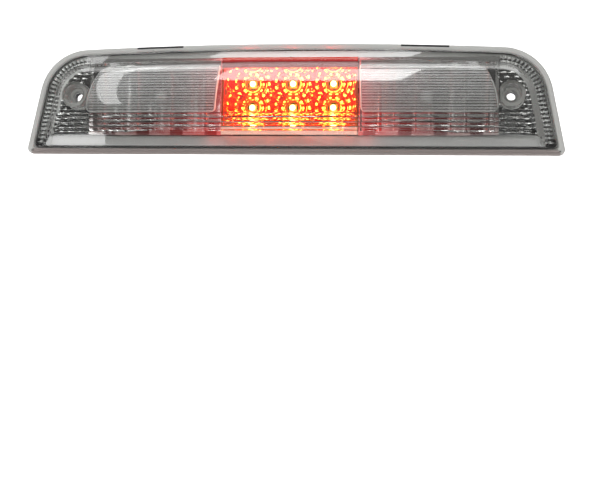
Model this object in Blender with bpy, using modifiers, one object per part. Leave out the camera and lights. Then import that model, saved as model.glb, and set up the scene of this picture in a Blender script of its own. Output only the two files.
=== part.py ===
"""Third brake light with two cargo lamps, as fitted above the rear window of a pickup cab.

X runs along the lamp, the lens faces -Y and +Z is up. The plane y = 0 is the cab panel that the
gasket presses on, and the origin is the middle of the opening in that panel.
"""

import math

import bmesh
import bpy
from mathutils import Matrix, Vector

MM = 0.001

# Outline of the lens rim, seen from the front.
HALF_WIDTH = 196.0 * MM
BOTTOM = -40.0 * MM
TOP = 40.6 * MM
SIDE_SLOPE = 0.205
CORNER_RADIUS = 37.0 * MM
FOOT_RADIUS = 3.8 * MM
FOOT_LEAST = 0.5 * MM
FOOT_GROWTH = 0.7
TOP_ARCH_RADIUS = 3430.0 * MM

# Depths along Y, from the cab panel towards the viewer.
GASKET_BACK = 0.0
GASKET_FRONT = -3.0 * MM
FLANGE_BACK = -3.3 * MM
FLANGE_FRONT = -5.3 * MM
TRIM_BACK = -5.6 * MM
RIM_FRONT = -9.0 * MM
SEAT_DEPTH = -8.6 * MM
TRIM_INSET = 6.6 * MM

# Lens shell.
LENS_THICKNESS = 2.2 * MM
RIM_WIDTH = 4.6 * MM
BULGE = 15.0 * MM
BULGE_LOW_POWER = 0.6
BULGE_FADE = 0.25
UNDERSIDE_STEP = 0.6 * MM
SHOULDER_START = 12.0 * MM
SHOULDER_SLOPE = 0.2
SHOULDER_RISE = 14.5 * MM
SHOULDER_RUN = 9.0 * MM
BLEND = 3.0 * MM

# Cargo optics behind the lens.
OPTIC_THICKNESS = 1.8 * MM
OPTIC_GAP = 0.9 * MM
OPTIC_LOW = -11.5 * MM
OPTIC_HIGH = 26.5 * MM
OPTIC_INNER_LOW = 52.5 * MM
OPTIC_INNER_HIGH = 50.5 * MM
OPTIC_OUTER_LOW = 149.0 * MM
OPTIC_OUTER_HIGH = 137.0 * MM

# Screw points.
SCREW_X = 158.0 * MM
SCREW_Z = 2.0 * MM
BORE_RADIUS = 3.2 * MM
SEAT_RADIUS = 6.0 * MM
FUNNEL_RADIUS = 7.4 * MM
BOSS_RADIUS = 9.4 * MM
SLEEVE_RADIUS = 4.4 * MM

# Housing tub that passes through the opening.
WALL = 2.2 * MM
TUB_HALF_WIDTH = 150.0 * MM
TUB_LOW = -26.0 * MM
TUB_HIGH = 30.5 * MM
TUB_CORNER = 3.5 * MM
TUB_DRAFT = 1.0 * MM
TUB_FLOOR = 24.0 * MM

# Centre LED unit.
CENTRE_HALF_WIDTH = 49.6 * MM
CENTRE_LOW = -22.5 * MM
CENTRE_HIGH = 25.5 * MM
CENTRE_FRONT, CENTRE_WALL = -11.0 * MM, 1.5 * MM
CUP_FRONT = -3.0 * MM
CUP_BACK = 11.4 * MM
LED_PITCH = 30.0 * MM
LED_ROWS = (-3.5 * MM, 14.0 * MM)
BOARD_FRONT = 12.0 * MM
BOARD_THICKNESS = 1.6 * MM
BOARD_SCREW_X = 44.0 * MM
BOARD_SCREW_Z = -18.0 * MM

# Cargo lamps.
CARGO_INNER = 51.2 * MM
CARGO_OUTER = 146.8 * MM
CARGO_LOW = -22.5 * MM
CARGO_HIGH = 27.0 * MM
CARGO_FRONT = -7.0 * MM
CARGO_FLOOR = 9.0 * MM
SOCKET_X = 98.0 * MM
SOCKET_Z = 2.0 * MM
SOCKET_RADIUS = 8.6 * MM
SOCKET_HOLE = 9.2 * MM
LUG_REACH = 11.2 * MM
LUG_WIDTH = 4.6 * MM
LUG_THICKNESS = 2.2 * MM
SLOT_REACH = 11.7 * MM
SLOT_WIDTH = 6.2 * MM
TWIST = math.radians(45)

CONNECTOR_Z = -8.0 * MM
HEADER_HALF_WIDTH, HEADER_HALF_HEIGHT = 9.0 * MM, 5.0 * MM
HEADER_BACK, HEADER_FLOOR = 35.0 * MM, 27.0 * MM
PIN_X = 3.5 * MM
VENT_X, VENT_Z = 48.0 * MM, 12.0 * MM
VENT_HOLE, VENT_STEM, VENT_HEAD = 2.2 * MM, 1.8 * MM, 5.5 * MM

BOARD_HALF_WIDTH, BOARD_LOW, BOARD_HIGH = 47.0 * MM, -22.0 * MM, 24.0 * MM
PILOT_RADIUS, BOARD_HOLE, HEAD_POCKET = 1.0 * MM, 1.6 * MM, 3.0 * MM
STANDOFF = 3.0 * MM
LED_HALF, LED_HEIGHT, LED_DOME = 2.7 * MM, 2.0 * MM, 2.2 * MM
CUP_MOUTH = (13.6 * MM, 8.0 * MM)
CUP_WINDOW = 4.0 * MM
RESISTOR_X, RESISTOR_Z, DIODE_Z = 30.0 * MM, 5.0 * MM, 12.0 * MM

BULB_HOLE = 8.0 * MM
DISC_RADIUS, DISC_THICKNESS = 13.0 * MM, 2.2 * MM
NOSE_REACH = 5.0 * MM
POCKET_RADIUS, POCKET_DEPTH = 5.4 * MM, 7.5 * MM
SHROUD_HALF_WIDTH, SHROUD_HALF_HEIGHT, SHROUD_DEPTH = 8.5 * MM, 5.0 * MM, 6.5 * MM
SHROUD_WALL = 1.5 * MM
BLADE_X, BLADE_THICKNESS, BLADE_WIDTH, BLADE_GAP = 3.0 * MM, 0.8 * MM, 2.8 * MM, 0.3 * MM
SEAL_INNER, SEAL_OUTER = 9.4 * MM, 12.4 * MM
BULB_RADIUS, BULB_LENGTH = 4.8 * MM, 15.0 * MM

TRIM_FLUTES = 24
TRIM_THIN, TRIM_THICK = 0.6 * MM, 1.2 * MM
GAP = 0.3 * MM

# Mesh fineness.
ARC_STEPS = 6
EDGE_STEPS = 14
SIDE_STEPS = 6
ROUND = 24
SMALL_ROUND = 12
HOUSING_BORE_STEPS = 22
LENS_RINGS = (0.0, 4.6, 7.0, 9.5, 12.0, 15.6, 20.0)
OVERCUT = 1.0 * MM
MERGE = 0.001 * MM


def clear_scene():
    for obj in list(bpy.data.objects):
        bpy.data.objects.remove(obj, do_unlink=True)


def make_collection(name):
    collection = bpy.data.collections.new(name)
    bpy.context.scene.collection.children.link(collection)
    return collection


def make_material(name, colour, roughness, metallic=0.0, transmission=0.0):
    material = bpy.data.materials.new(name)
    material.use_nodes = True
    shader = material.node_tree.nodes["Principled BSDF"]
    shader.inputs["Base Color"].default_value = (*colour, 1.0)
    shader.inputs["Roughness"].default_value = roughness
    shader.inputs["Metallic"].default_value = metallic
    shader.inputs["Transmission Weight"].default_value = transmission
    material.diffuse_color = (*colour, 1.0)
    return material


MATERIALS = {
    "clear": ((0.93, 0.95, 0.95), 0.04, 0.0, 1.0),
    "chrome": ((0.86, 0.87, 0.88), 0.08, 1.0, 0.0),
    "light_plastic": ((0.62, 0.63, 0.62), 0.45, 0.0, 0.0),
    "black_plastic": ((0.03, 0.03, 0.03), 0.5, 0.0, 0.0),
    "foam": ((0.02, 0.02, 0.02), 0.95, 0.0, 0.0),
    "rubber": ((0.04, 0.04, 0.04), 0.8, 0.0, 0.0),
    "board": ((0.02, 0.22, 0.07), 0.5, 0.0, 0.0),
    "red_led": ((0.9, 0.05, 0.03), 0.2, 0.0, 0.4),
    "steel": ((0.6, 0.6, 0.6), 0.3, 1.0, 0.0),
    "brass": ((0.8, 0.6, 0.25), 0.3, 1.0, 0.0),
    "ceramic": ((0.75, 0.7, 0.6), 0.6, 0.0, 0.0),
    "glass": ((1.0, 1.0, 1.0), 0.02, 0.0, 1.0),
}


def object_from(bm, name, collection, finish=None):
    """Turns a bmesh into an object. Without a finish it is a cutter or a filler, left out of the model."""
    mesh = bpy.data.meshes.new(name)
    bm.to_mesh(mesh)
    bm.free()
    obj = bpy.data.objects.new(name, mesh)
    collection.objects.link(obj)
    if finish is None:
        obj.hide_render = True
        obj.display_type = "WIRE"
    else:
        mesh.materials.append(make_material(name, *MATERIALS[finish]))
        mesh.shade_smooth()
        mesh.set_sharp_from_angle(angle=math.radians(30))
    return obj


def copy_of(obj, name, collection, location):
    twin = bpy.data.objects.new(name, obj.data)
    twin.location = location
    collection.objects.link(twin)
    return twin


def boolean(obj, other, operation="DIFFERENCE"):
    modifier = obj.modifiers.new(other.name, "BOOLEAN")
    modifier.operation = operation
    modifier.solver = "EXACT"
    modifier.object = other


def box(bm, low, high):
    """A closed box between two corners."""
    centre = (Vector(low) + Vector(high)) / 2
    size = Vector(high) - Vector(low)
    made = bmesh.ops.create_cube(bm, size=1.0)["verts"]
    bmesh.ops.scale(bm, vec=size, verts=made)
    bmesh.ops.translate(bm, vec=centre, verts=made)
    return bm


def cylinder(radius, front, back, steps=ROUND):
    """A closed cylinder about the Y axis."""
    bm = bmesh.new()
    length = back - front
    bmesh.ops.create_cone(bm, cap_ends=True, segments=steps, radius1=radius, radius2=radius, depth=length)
    bmesh.ops.rotate(bm, matrix=Matrix.Rotation(math.radians(90), 3, "X"), verts=bm.verts)
    bmesh.ops.translate(bm, vec=(0.0, (front + back) / 2, 0.0), verts=bm.verts)
    return bm


def turned(profile, name, collection, finish=None, steps=ROUND):
    """An object turned about Y from (radius, y) points, which end on the axis or run round a ring's section."""
    swept = sum(a[0] * b[1] - b[0] * a[1] for a, b in zip(profile, profile[1:]))
    points = list(profile) if swept < 0 else list(reversed(profile))
    bm = bmesh.new()
    verts = [bm.verts.new((radius, y, 0.0)) for radius, y in points[:-1]]
    verts.append(verts[0] if points[-1] == points[0] else bm.verts.new((points[-1][0], points[-1][1], 0.0)))
    for first, second in zip(verts, verts[1:]):
        bm.edges.new((first, second))
    obj = object_from(bm, name, collection, finish)
    screw = obj.modifiers.new("turn", "SCREW")
    screw.axis = "Y"
    screw.steps = screw.render_steps = steps
    screw.use_smooth_shade = False
    screw.use_merge_vertices = True
    screw.merge_threshold = MERGE
    return obj


def ring_section(inner, outer, front, back):
    return ((inner, front), (outer, front), (outer, back), (inner, back), (inner, front))


def radial_block(inner, outer, front, back, angle, width):
    """A block that reaches out from the Y axis at this angle: a lug, or the slot that it passes through."""
    bm = box(bmesh.new(), (inner, front, -width / 2), (outer, back, width / 2))
    bmesh.ops.rotate(bm, matrix=Matrix.Rotation(-angle, 3, "Y"), verts=bm.verts)
    return bm


def lerp(first, second, share):
    return (first[0] + (second[0] - first[0]) * share, first[1] + (second[1] - first[1]) * share)


def spread(step):
    """A share of an edge that packs the steps closer towards both ends, where the shapes turn."""
    share = step / EDGE_STEPS
    return 0.35 * share + 0.65 * (0.5 - 0.5 * math.cos(math.pi * share))


def arc(centre, radius, start, end):
    """Points (x, z) along an arc, both ends included."""
    points = []
    for step in range(ARC_STEPS + 1):
        angle = start + (end - start) * step / ARC_STEPS
        points.append((centre[0] + radius * math.cos(angle), centre[1] + radius * math.sin(angle)))
    return points


def mirrored(points):
    return [(-x, z) for x, z in reversed(points)]


def side_wall():
    """The right side of the rim as its outward direction and its distance from the origin."""
    lean = math.atan(SIDE_SLOPE)
    normal = (math.cos(lean), math.sin(lean))
    reach = normal[0] * HALF_WIDTH + normal[1] * (BOTTOM + FOOT_RADIUS)
    return lean, normal, reach


def corner_centre():
    """Centre of the upper right corner arc, which touches the side and the arched top."""
    lean, normal, reach = side_wall()
    arch_z = TOP - TOP_ARCH_RADIUS
    across = reach - CORNER_RADIUS
    # A point at this distance from the side, slid along it until it touches the arch.
    base = (normal[0] * across, normal[1] * across)
    along = (-normal[1], normal[0])
    rise = (base[0], base[1] - arch_z)
    half_b = rise[0] * along[0] + rise[1] * along[1]
    spare = rise[0] ** 2 + rise[1] ** 2 - (TOP_ARCH_RADIUS - CORNER_RADIUS) ** 2
    slide = -half_b + math.sqrt(half_b**2 - spare)
    return (base[0] + along[0] * slide, base[1] + along[1] * slide)


def rim_rows(inset):
    """Bottom and top edges of the rim outline, left to right, moved inwards by inset."""
    lean, normal, reach = side_wall()
    foot = max(FOOT_RADIUS - inset, FOOT_LEAST + FOOT_GROWTH * inset)
    foot_z = BOTTOM + inset + foot
    foot_x = (reach - inset - foot - normal[1] * foot_z) / normal[0]
    right_foot = arc((foot_x, foot_z), foot, -math.pi / 2, lean)
    bottom = mirrored(right_foot)
    left, right = bottom[-1], right_foot[0]
    bottom += [lerp(left, right, spread(step)) for step in range(1, EDGE_STEPS)] + right_foot

    centre = corner_centre()
    arch_z = TOP - TOP_ARCH_RADIUS
    end = math.atan2(centre[1] - arch_z, centre[0])
    left_corner = mirrored(arc(centre, CORNER_RADIUS - inset, lean, end))[::-1]
    top = list(left_corner)
    radius = TOP_ARCH_RADIUS - inset
    for step in range(1, EDGE_STEPS):
        angle = math.pi - end + (2 * end - math.pi) * spread(step)
        top.append((radius * math.cos(angle), arch_z + radius * math.sin(angle)))
    top += mirrored(left_corner)
    return bottom, top


def tub_rows(grow):
    """Bottom and top edges of the tub's opening, left to right, moved outwards by grow."""
    width, low, high = TUB_HALF_WIDTH + grow, TUB_LOW - grow, TUB_HIGH + grow
    radius = max(TUB_CORNER + grow, 1.0 * MM)
    rows = []
    for z, start in ((low + radius, -math.pi / 2), (high - radius, 0.0)):
        right = arc((width - radius, z), radius, start, start + math.pi / 2)
        if start == 0.0:
            right = right[::-1]
        left = mirrored(right)
        middle = [lerp(left[-1], right[0], spread(step)) for step in range(1, EDGE_STEPS)]
        rows.append(left + middle + right)
    return rows


def ring_of(rows):
    """One closed ring from a bottom and a top edge, anticlockwise seen from the front."""
    bottom, top = rows
    ring = list(bottom)
    ring += [lerp(bottom[-1], top[-1], step / SIDE_STEPS) for step in range(1, SIDE_STEPS)]
    ring += top[::-1]
    ring += [lerp(top[0], bottom[0], step / SIDE_STEPS) for step in range(1, SIDE_STEPS)]
    return ring


def outline_distance(x, z):
    """Distance in from the sides, corners and top of the rim outline. The bottom edge is left out."""
    lean, normal, reach = side_wall()
    centre = corner_centre()
    arch_z = TOP - TOP_ARCH_RADIUS
    x = abs(x)
    end = math.atan2(centre[1] - arch_z, centre[0])
    turn = math.atan2(z - centre[1], x - centre[0])
    if lean < turn < end:
        return CORNER_RADIUS - math.hypot(x - centre[0], z - centre[1])
    from_side = reach - normal[0] * x - normal[1] * z
    from_top = TOP_ARCH_RADIUS - math.hypot(x, z - arch_z)
    return min(from_side, from_top)


def smooth_least(first, second):
    mix = max(BLEND - abs(first - second), 0.0) / BLEND
    return min(first, second) - mix * mix * BLEND / 4


def lens_height(x, z):
    """How far the lens face stands in front of the rim at (x, z)."""
    distance = outline_distance(x, z)
    low = BOTTOM + RIM_WIDTH
    high = TOP - RIM_WIDTH
    share = min(max((z - low) / (high - low), 0.0), 1.0)
    peak = BULGE_LOW_POWER / (1 + BULGE_LOW_POWER)
    swell = BULGE * (share / peak) ** BULGE_LOW_POWER * (1 - share) / (1 - peak)
    swell *= 1 - BULGE_FADE * (x / HALF_WIDTH) ** 2
    underside = UNDERSIDE_STEP + (z - low)
    face = min(swell, underside)
    shoulder = SHOULDER_SLOPE * min(distance, SHOULDER_START)
    past = max(distance - SHOULDER_START, 0.0)
    shoulder += SHOULDER_RISE * (1 - math.exp(-past / SHOULDER_RUN))
    return max(smooth_least(face, shoulder), 0.0)


def lens_point(x, z, depth):
    """A point that lies depth behind the lens face, square to it."""
    step = 0.2 * MM
    slope_x = (lens_height(x + step, z) - lens_height(x - step, z)) / (2 * step)
    slope_z = (lens_height(x, z + step) - lens_height(x, z - step)) / (2 * step)
    inwards = Vector((slope_x, 1.0, slope_z)).normalized()
    return Vector((x, RIM_FRONT - lens_height(x, z), z)) + inwards * depth


def loft(levels, fill_rows=None, height=None):
    """An open sheet through rings of (rows, y). The last ring is filled by a grid, or by one flat face."""
    bm = bmesh.new()
    rings = []
    for rows, y in levels:
        points = ring_of(rows)
        rings.append([bm.verts.new((x, y if y is not None else height(x, z), z)) for x, z in points])
    for first, second in zip(rings, rings[1:]):
        count = len(first)
        for index in range(count):
            after = (index + 1) % count
            bm.faces.new((first[index], first[after], second[after], second[index]))
    last = rings[-1]
    if fill_rows is None:
        bm.faces.new(last)
        return bm
    bottom, top = fill_rows
    columns = len(bottom)
    right_side = last[columns : columns + SIDE_STEPS - 1]
    top_side = last[columns + SIDE_STEPS - 1 : 2 * columns + SIDE_STEPS - 1][::-1]
    left_side = last[2 * columns + SIDE_STEPS - 1 :][::-1]
    grid = [last[:columns]]
    for step in range(1, SIDE_STEPS):
        row = [left_side[step - 1]]
        for column in range(1, columns - 1):
            x, z = lerp(bottom[column], top[column], step / SIDE_STEPS)
            row.append(bm.verts.new((x, height(x, z), z)))
        row.append(right_side[step - 1])
        grid.append(row)
    grid.append(top_side)
    for lower, upper in zip(grid, grid[1:]):
        for column in range(columns - 1):
            bm.faces.new((lower[column], lower[column + 1], upper[column + 1], upper[column]))
    return bm


def solidify(obj, thickness, even=True):
    modifier = obj.modifiers.new("thickness", "SOLIDIFY")
    modifier.thickness = thickness
    modifier.offset = -1.0
    modifier.use_even_offset = even
    modifier.use_quality_normals = True


def boss_solid(side):
    """The screw boss under the lens: its front end follows the middle of the lens shell."""
    bm = bmesh.new()
    x, z = side * SCREW_X, SCREW_Z
    front, back = [], []
    for step in range(ROUND):
        angle = 2 * math.pi * step / ROUND
        px, pz = x + BOSS_RADIUS * math.cos(angle), z + BOSS_RADIUS * math.sin(angle)
        front.append(bm.verts.new((px, lens_point(px, pz, LENS_THICKNESS / 2).y, pz)))
        back.append(bm.verts.new((px, TRIM_BACK, pz)))
    tip = bm.verts.new((x, lens_point(x, z, LENS_THICKNESS / 2).y, z))
    for step in range(ROUND):
        after = (step + 1) % ROUND
        bm.faces.new((front[step], front[after], back[after], back[step]))
        bm.faces.new((front[after], front[step], tip))
    bm.faces.new(back)
    bmesh.ops.recalc_face_normals(bm, faces=bm.faces)
    return bm


def funnel_profile():
    """The screw's way in: a tapered funnel down to the seat, then the bore."""
    mouth = RIM_FRONT - BULGE - 4 * MM
    flare = (FUNNEL_RADIUS - SEAT_RADIUS) / (SEAT_DEPTH - RIM_FRONT + BULGE)
    wide = SEAT_RADIUS + flare * (SEAT_DEPTH - mouth)
    end = TRIM_BACK + OVERCUT
    flared = ((0.0, mouth), (wide, mouth), (SEAT_RADIUS, SEAT_DEPTH))
    return flared + ((BORE_RADIUS, SEAT_DEPTH), (BORE_RADIUS, end), (0.0, end))


def make_lens(parts, cutters):
    rows = [rim_rows(inset * MM) for inset in LENS_RINGS]

    def face_y(x, z):
        return RIM_FRONT - lens_height(x, z)

    levels = [(rows[0], FLANGE_BACK), (rows[0], RIM_FRONT), (rows[1], RIM_FRONT)]
    levels += [(row, None) for row in rows[2:]]
    sheet = loft(levels, rows[-1], face_y)
    # Cut the bent quads before they are thickened, so that both skins fold along the same diagonals.
    bmesh.ops.triangulate(sheet, faces=sheet.faces, quad_method="SHORT_EDGE")
    lens = object_from(sheet, "outer_lens", parts, "clear")
    solidify(lens, LENS_THICKNESS, even=False)
    for side, label in ((-1, "left"), (1, "right")):
        boolean(lens, object_from(boss_solid(side), label + "_boss_filler", cutters), "UNION")
    for side, label in ((-1, "left"), (1, "right")):
        cutter = turned(funnel_profile(), label + "_funnel_cutter", cutters)
        cutter.location = (side * SCREW_X, 0.0, SCREW_Z)
        boolean(lens, cutter)


def optic_edges(share):
    """The inner and outer X of a cargo optic at this share of its height."""
    inner = OPTIC_INNER_LOW + (OPTIC_INNER_HIGH - OPTIC_INNER_LOW) * share
    outer = OPTIC_OUTER_LOW + (OPTIC_OUTER_HIGH - OPTIC_OUTER_LOW) * share**2.2
    return inner, outer


def make_cargo_optic(side, label, parts):
    columns, rows = 14, 7
    bm = bmesh.new()
    grid = []
    for row in range(rows + 1):
        share = row / rows
        z = OPTIC_LOW + (OPTIC_HIGH - OPTIC_LOW) * share
        inner, outer = optic_edges(share)
        line = []
        for column in range(columns + 1):
            x = side * (inner + (outer - inner) * column / columns)
            line.append(bm.verts.new(lens_point(x, z, LENS_THICKNESS + OPTIC_GAP)))
        grid.append(line)
    for lower, upper in zip(grid, grid[1:]):
        for column in range(columns):
            corners = (lower[column], lower[column + 1], upper[column + 1], upper[column])
            bm.faces.new(corners if side > 0 else corners[::-1])
    optic = object_from(bm, label + "_cargo_optic", parts, "clear")
    solidify(optic, OPTIC_THICKNESS)


def make_housing(parts, cutters):
    floor = tub_rows(-TUB_DRAFT)
    levels = [(rim_rows(2.6 * MM), FLANGE_FRONT), (tub_rows(0.0), FLANGE_FRONT), (floor, TUB_FLOOR)]
    sheet = loft(levels, floor, lambda x, z: TUB_FLOOR)
    housing = object_from(sheet, "rear_housing", parts, "light_plastic")
    solidify(housing, WALL)
    inside, outside = TUB_FLOOR - OVERCUT, TUB_FLOOR + WALL + OVERCUT

    def cut(shape, name, place=(0.0, 0.0, 0.0)):
        cutter = object_from(shape, name, cutters)
        cutter.location = place
        boolean(housing, cutter)

    for side, label in ((-1, "left"), (1, "right")):
        middle = side * BOARD_SCREW_X
        low = (middle - STANDOFF, BOARD_FRONT + BOARD_THICKNESS + GAP, BOARD_SCREW_Z - STANDOFF)
        high = (middle + STANDOFF, TUB_FLOOR + WALL / 2, BOARD_SCREW_Z + STANDOFF)
        post = box(bmesh.new(), low, high)
        boolean(housing, object_from(post, label + "_standoff_filler", cutters), "UNION")
    for side, label in ((-1, "left"), (1, "right")):
        socket_place = (side * SOCKET_X, 0.0, SOCKET_Z)
        cut(cylinder(SOCKET_HOLE, inside, outside), label + "_socket_cutter", socket_place)
        for number, angle in enumerate(lug_angles(), 1):
            start = SOCKET_HOLE - 1.5 * MM
            slot = radial_block(start, SLOT_REACH, inside, outside, angle - TWIST, SLOT_WIDTH)
            cut(slot, f"{label}_slot_cutter_{number}", socket_place)
        front, back = FLANGE_FRONT - OVERCUT, FLANGE_BACK + OVERCUT
        bore = cylinder(SLEEVE_RADIUS + GAP, front, back, HOUSING_BORE_STEPS)
        cut(bore, label + "_sleeve_cutter", (side * SCREW_X, 0.0, SCREW_Z))
        pilot = cylinder(PILOT_RADIUS, BOARD_FRONT, inside, SMALL_ROUND)
        cut(pilot, label + "_pilot_cutter", (side * BOARD_SCREW_X, 0.0, BOARD_SCREW_Z))
    reach, low = HEADER_HALF_WIDTH + GAP, CONNECTOR_Z - HEADER_HALF_HEIGHT - GAP
    high = CONNECTOR_Z + HEADER_HALF_HEIGHT + GAP
    mouth = box(bmesh.new(), (-reach, inside, low), (reach, outside, high))
    cut(mouth, "connector_cutter")
    cut(cylinder(VENT_HOLE, inside, outside, SMALL_ROUND), "vent_cutter", (VENT_X, 0.0, VENT_Z))


def lug_angles():
    return [math.radians(90 + 120 * number) for number in range(3)]


def make_gasket(parts, cutters):
    outer, inner = rim_rows(2.0 * MM), tub_rows(WALL + 1.0 * MM)
    bm = bmesh.new()
    rings = []
    for rows, y in ((outer, GASKET_FRONT), (inner, GASKET_FRONT), (inner, GASKET_BACK), (outer, GASKET_BACK)):
        rings.append([bm.verts.new((x, y, z)) for x, z in ring_of(rows)])
    for index, first in enumerate(rings):
        second = rings[(index + 1) % len(rings)]
        for step in range(len(first)):
            after = (step + 1) % len(first)
            bm.faces.new((first[step], first[after], second[after], second[step]))
    bmesh.ops.recalc_face_normals(bm, faces=bm.faces)
    gasket = object_from(bm, "mounting_gasket", parts, "foam")
    for side, label in ((-1, "left"), (1, "right")):
        bore = cylinder(SLEEVE_RADIUS + GAP, GASKET_FRONT - OVERCUT, GASKET_BACK + OVERCUT)
        cutter = object_from(bore, label + "_gasket_cutter", cutters)
        cutter.location = (side * SCREW_X, 0.0, SCREW_Z)
        boolean(gasket, cutter)


def make_sleeves(parts):
    section = ring_section(BORE_RADIUS, SLEEVE_RADIUS, FLANGE_FRONT, GASKET_BACK)
    for side, label in ((-1, "left"), (1, "right")):
        sleeve = turned(section, label + "_screw_sleeve", parts, "steel")
        sleeve.location = (side * SCREW_X, 0.0, SCREW_Z)


def make_end_trim(side, label, parts, cutters):
    """A fluted chrome plate behind the screw boss, cut to the outline of the rim."""
    inner = CARGO_OUTER + 1.8 * MM
    low, high = BOTTOM + TRIM_INSET, TOP - TRIM_INSET - 5.0 * MM
    bm = bmesh.new()
    front, back = [], []
    for step in range(TRIM_FLUTES + 1):
        z = low + (high - low) * step / TRIM_FLUTES
        outer = outline_x(z, TRIM_INSET)
        y = TRIM_BACK - (TRIM_THIN if step % 2 else TRIM_THICK)
        for row, depth in ((front, y), (back, TRIM_BACK)):
            row.append([bm.verts.new((side * x, depth, z)) for x in (inner, outer)])
    for step in range(TRIM_FLUTES):
        for row in (front, back):
            bm.faces.new((row[step][0], row[step][1], row[step + 1][1], row[step + 1][0]))
        for end in (0, 1):
            bm.faces.new((front[step][end], front[step + 1][end], back[step + 1][end], back[step][end]))
    for step in (0, TRIM_FLUTES):
        bm.faces.new((front[step][0], front[step][1], back[step][1], back[step][0]))
    bmesh.ops.recalc_face_normals(bm, faces=bm.faces)
    trim = object_from(bm, label + "_end_trim", parts, "chrome")
    hole = cylinder(BOSS_RADIUS + 0.5 * MM, RIM_FRONT, FLANGE_FRONT)
    cutter = object_from(hole, label + "_trim_cutter", cutters)
    cutter.location = (side * SCREW_X, 0.0, SCREW_Z)
    boolean(trim, cutter)


def outline_x(z, inset):
    """Half width of the rim outline at this height, moved inwards by inset."""
    low, high = 0.0, HALF_WIDTH
    for _ in range(40):
        middle = (low + high) / 2
        if outline_distance(middle, z) > inset:
            low = middle
        else:
            high = middle
    return low


def tray(inner, outer, low, high, front, floor, taper):
    """An open tray between two X values, as a sheet with its normals facing the front."""
    bm = bmesh.new()
    rings = []
    for y, pull in ((front, 0.0), (floor, taper)):
        left, right = inner + pull, outer - pull
        corners = ((left, low + pull), (right, low + pull), (right, high - pull), (left, high - pull))
        rings.append([bm.verts.new((x, y, z)) for x, z in corners])
    for index in range(4):
        after = (index + 1) % 4
        bm.faces.new((rings[0][index], rings[0][after], rings[1][after], rings[1][index]))
    bm.faces.new(rings[1])
    return bm


def make_cargo_reflector(side, label, parts, cutters):
    edges = sorted((side * CARGO_INNER, side * CARGO_OUTER))
    bm = tray(edges[0], edges[1], CARGO_LOW, CARGO_HIGH, CARGO_FRONT, CARGO_FLOOR, 5.0 * MM)
    reflector = object_from(bm, label + "_cargo_reflector", parts, "chrome")
    solidify(reflector, 1.4 * MM)
    hole = cylinder(BULB_HOLE, CARGO_FLOOR - OVERCUT, CARGO_FLOOR + 3 * OVERCUT)
    cutter = object_from(hole, label + "_bulb_cutter", cutters)
    cutter.location = (side * SOCKET_X, 0.0, SOCKET_Z)
    boolean(reflector, cutter)


def cup_cutter():
    """One LED cup: a four-sided funnel that narrows to the LED's window."""
    bm = bmesh.new()
    window = (CUP_WINDOW, CUP_WINDOW)
    levels = ((CUP_MOUTH, CUP_FRONT - OVERCUT), (CUP_MOUTH, CUP_FRONT))
    levels += ((window, CUP_BACK - OVERCUT), (window, CUP_BACK + OVERCUT))
    rings = []
    for (wide, tall), y in levels:
        corners = ((-wide, -tall), (wide, -tall), (wide, tall), (-wide, tall))
        rings.append([bm.verts.new((x, y, z)) for x, z in corners])
    for first, second in zip(rings, rings[1:]):
        for index in range(4):
            after = (index + 1) % 4
            bm.faces.new((first[index], first[after], second[after], second[index]))
    bm.faces.new(rings[0])
    bm.faces.new(rings[-1])
    bmesh.ops.recalc_face_normals(bm, faces=bm.faces)
    return bm


def led_places():
    return [(column * LED_PITCH, z) for z in LED_ROWS for column in (-1, 0, 1)]


def make_led_reflector(parts, cutters):
    wide, low, high, wall = CENTRE_HALF_WIDTH, CENTRE_LOW, CENTRE_HIGH, CENTRE_WALL
    body = box(bmesh.new(), (-wide, CENTRE_FRONT, low), (wide, CUP_BACK, high))
    reflector = object_from(body, "led_reflector", parts, "chrome")
    inner = wide - wall
    face = box(bmesh.new(), (-inner, CENTRE_FRONT - OVERCUT, low + wall), (inner, CUP_FRONT, high - wall))
    boolean(reflector, object_from(face, "led_face_cutter", cutters))
    first = object_from(cup_cutter(), "led_cup_cutter_1", cutters)
    for number, (x, z) in enumerate(led_places(), 1):
        cutter = first
        if number > 1:
            cutter = copy_of(first, f"led_cup_cutter_{number}", cutters, (0, 0, 0))
            cutter.hide_render = True
            cutter.display_type = "WIRE"
        cutter.location = (x, 0.0, z)
        boolean(reflector, cutter)
    for side, label in ((-1, "left"), (1, "right")):
        pocket = cylinder(HEAD_POCKET, CUP_BACK - 2.5 * MM, CUP_BACK + OVERCUT, SMALL_ROUND)
        cutter = object_from(pocket, label + "_head_pocket_cutter", cutters)
        cutter.location = (side * BOARD_SCREW_X, 0.0, BOARD_SCREW_Z)
        boolean(reflector, cutter)


def make_led_board(parts, cutters):
    back = BOARD_FRONT + BOARD_THICKNESS
    bm = box(bmesh.new(), (-BOARD_HALF_WIDTH, BOARD_FRONT, BOARD_LOW), (BOARD_HALF_WIDTH, back, BOARD_HIGH))
    board = object_from(bm, "led_board", parts, "board")
    for side, label in ((-1, "left"), (1, "right")):
        hole = cylinder(BOARD_HOLE, BOARD_FRONT - OVERCUT, back + OVERCUT, SMALL_ROUND)
        cutter = object_from(hole, label + "_board_cutter", cutters)
        cutter.location = (side * BOARD_SCREW_X, 0.0, BOARD_SCREW_Z)
        boolean(board, cutter)


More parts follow.
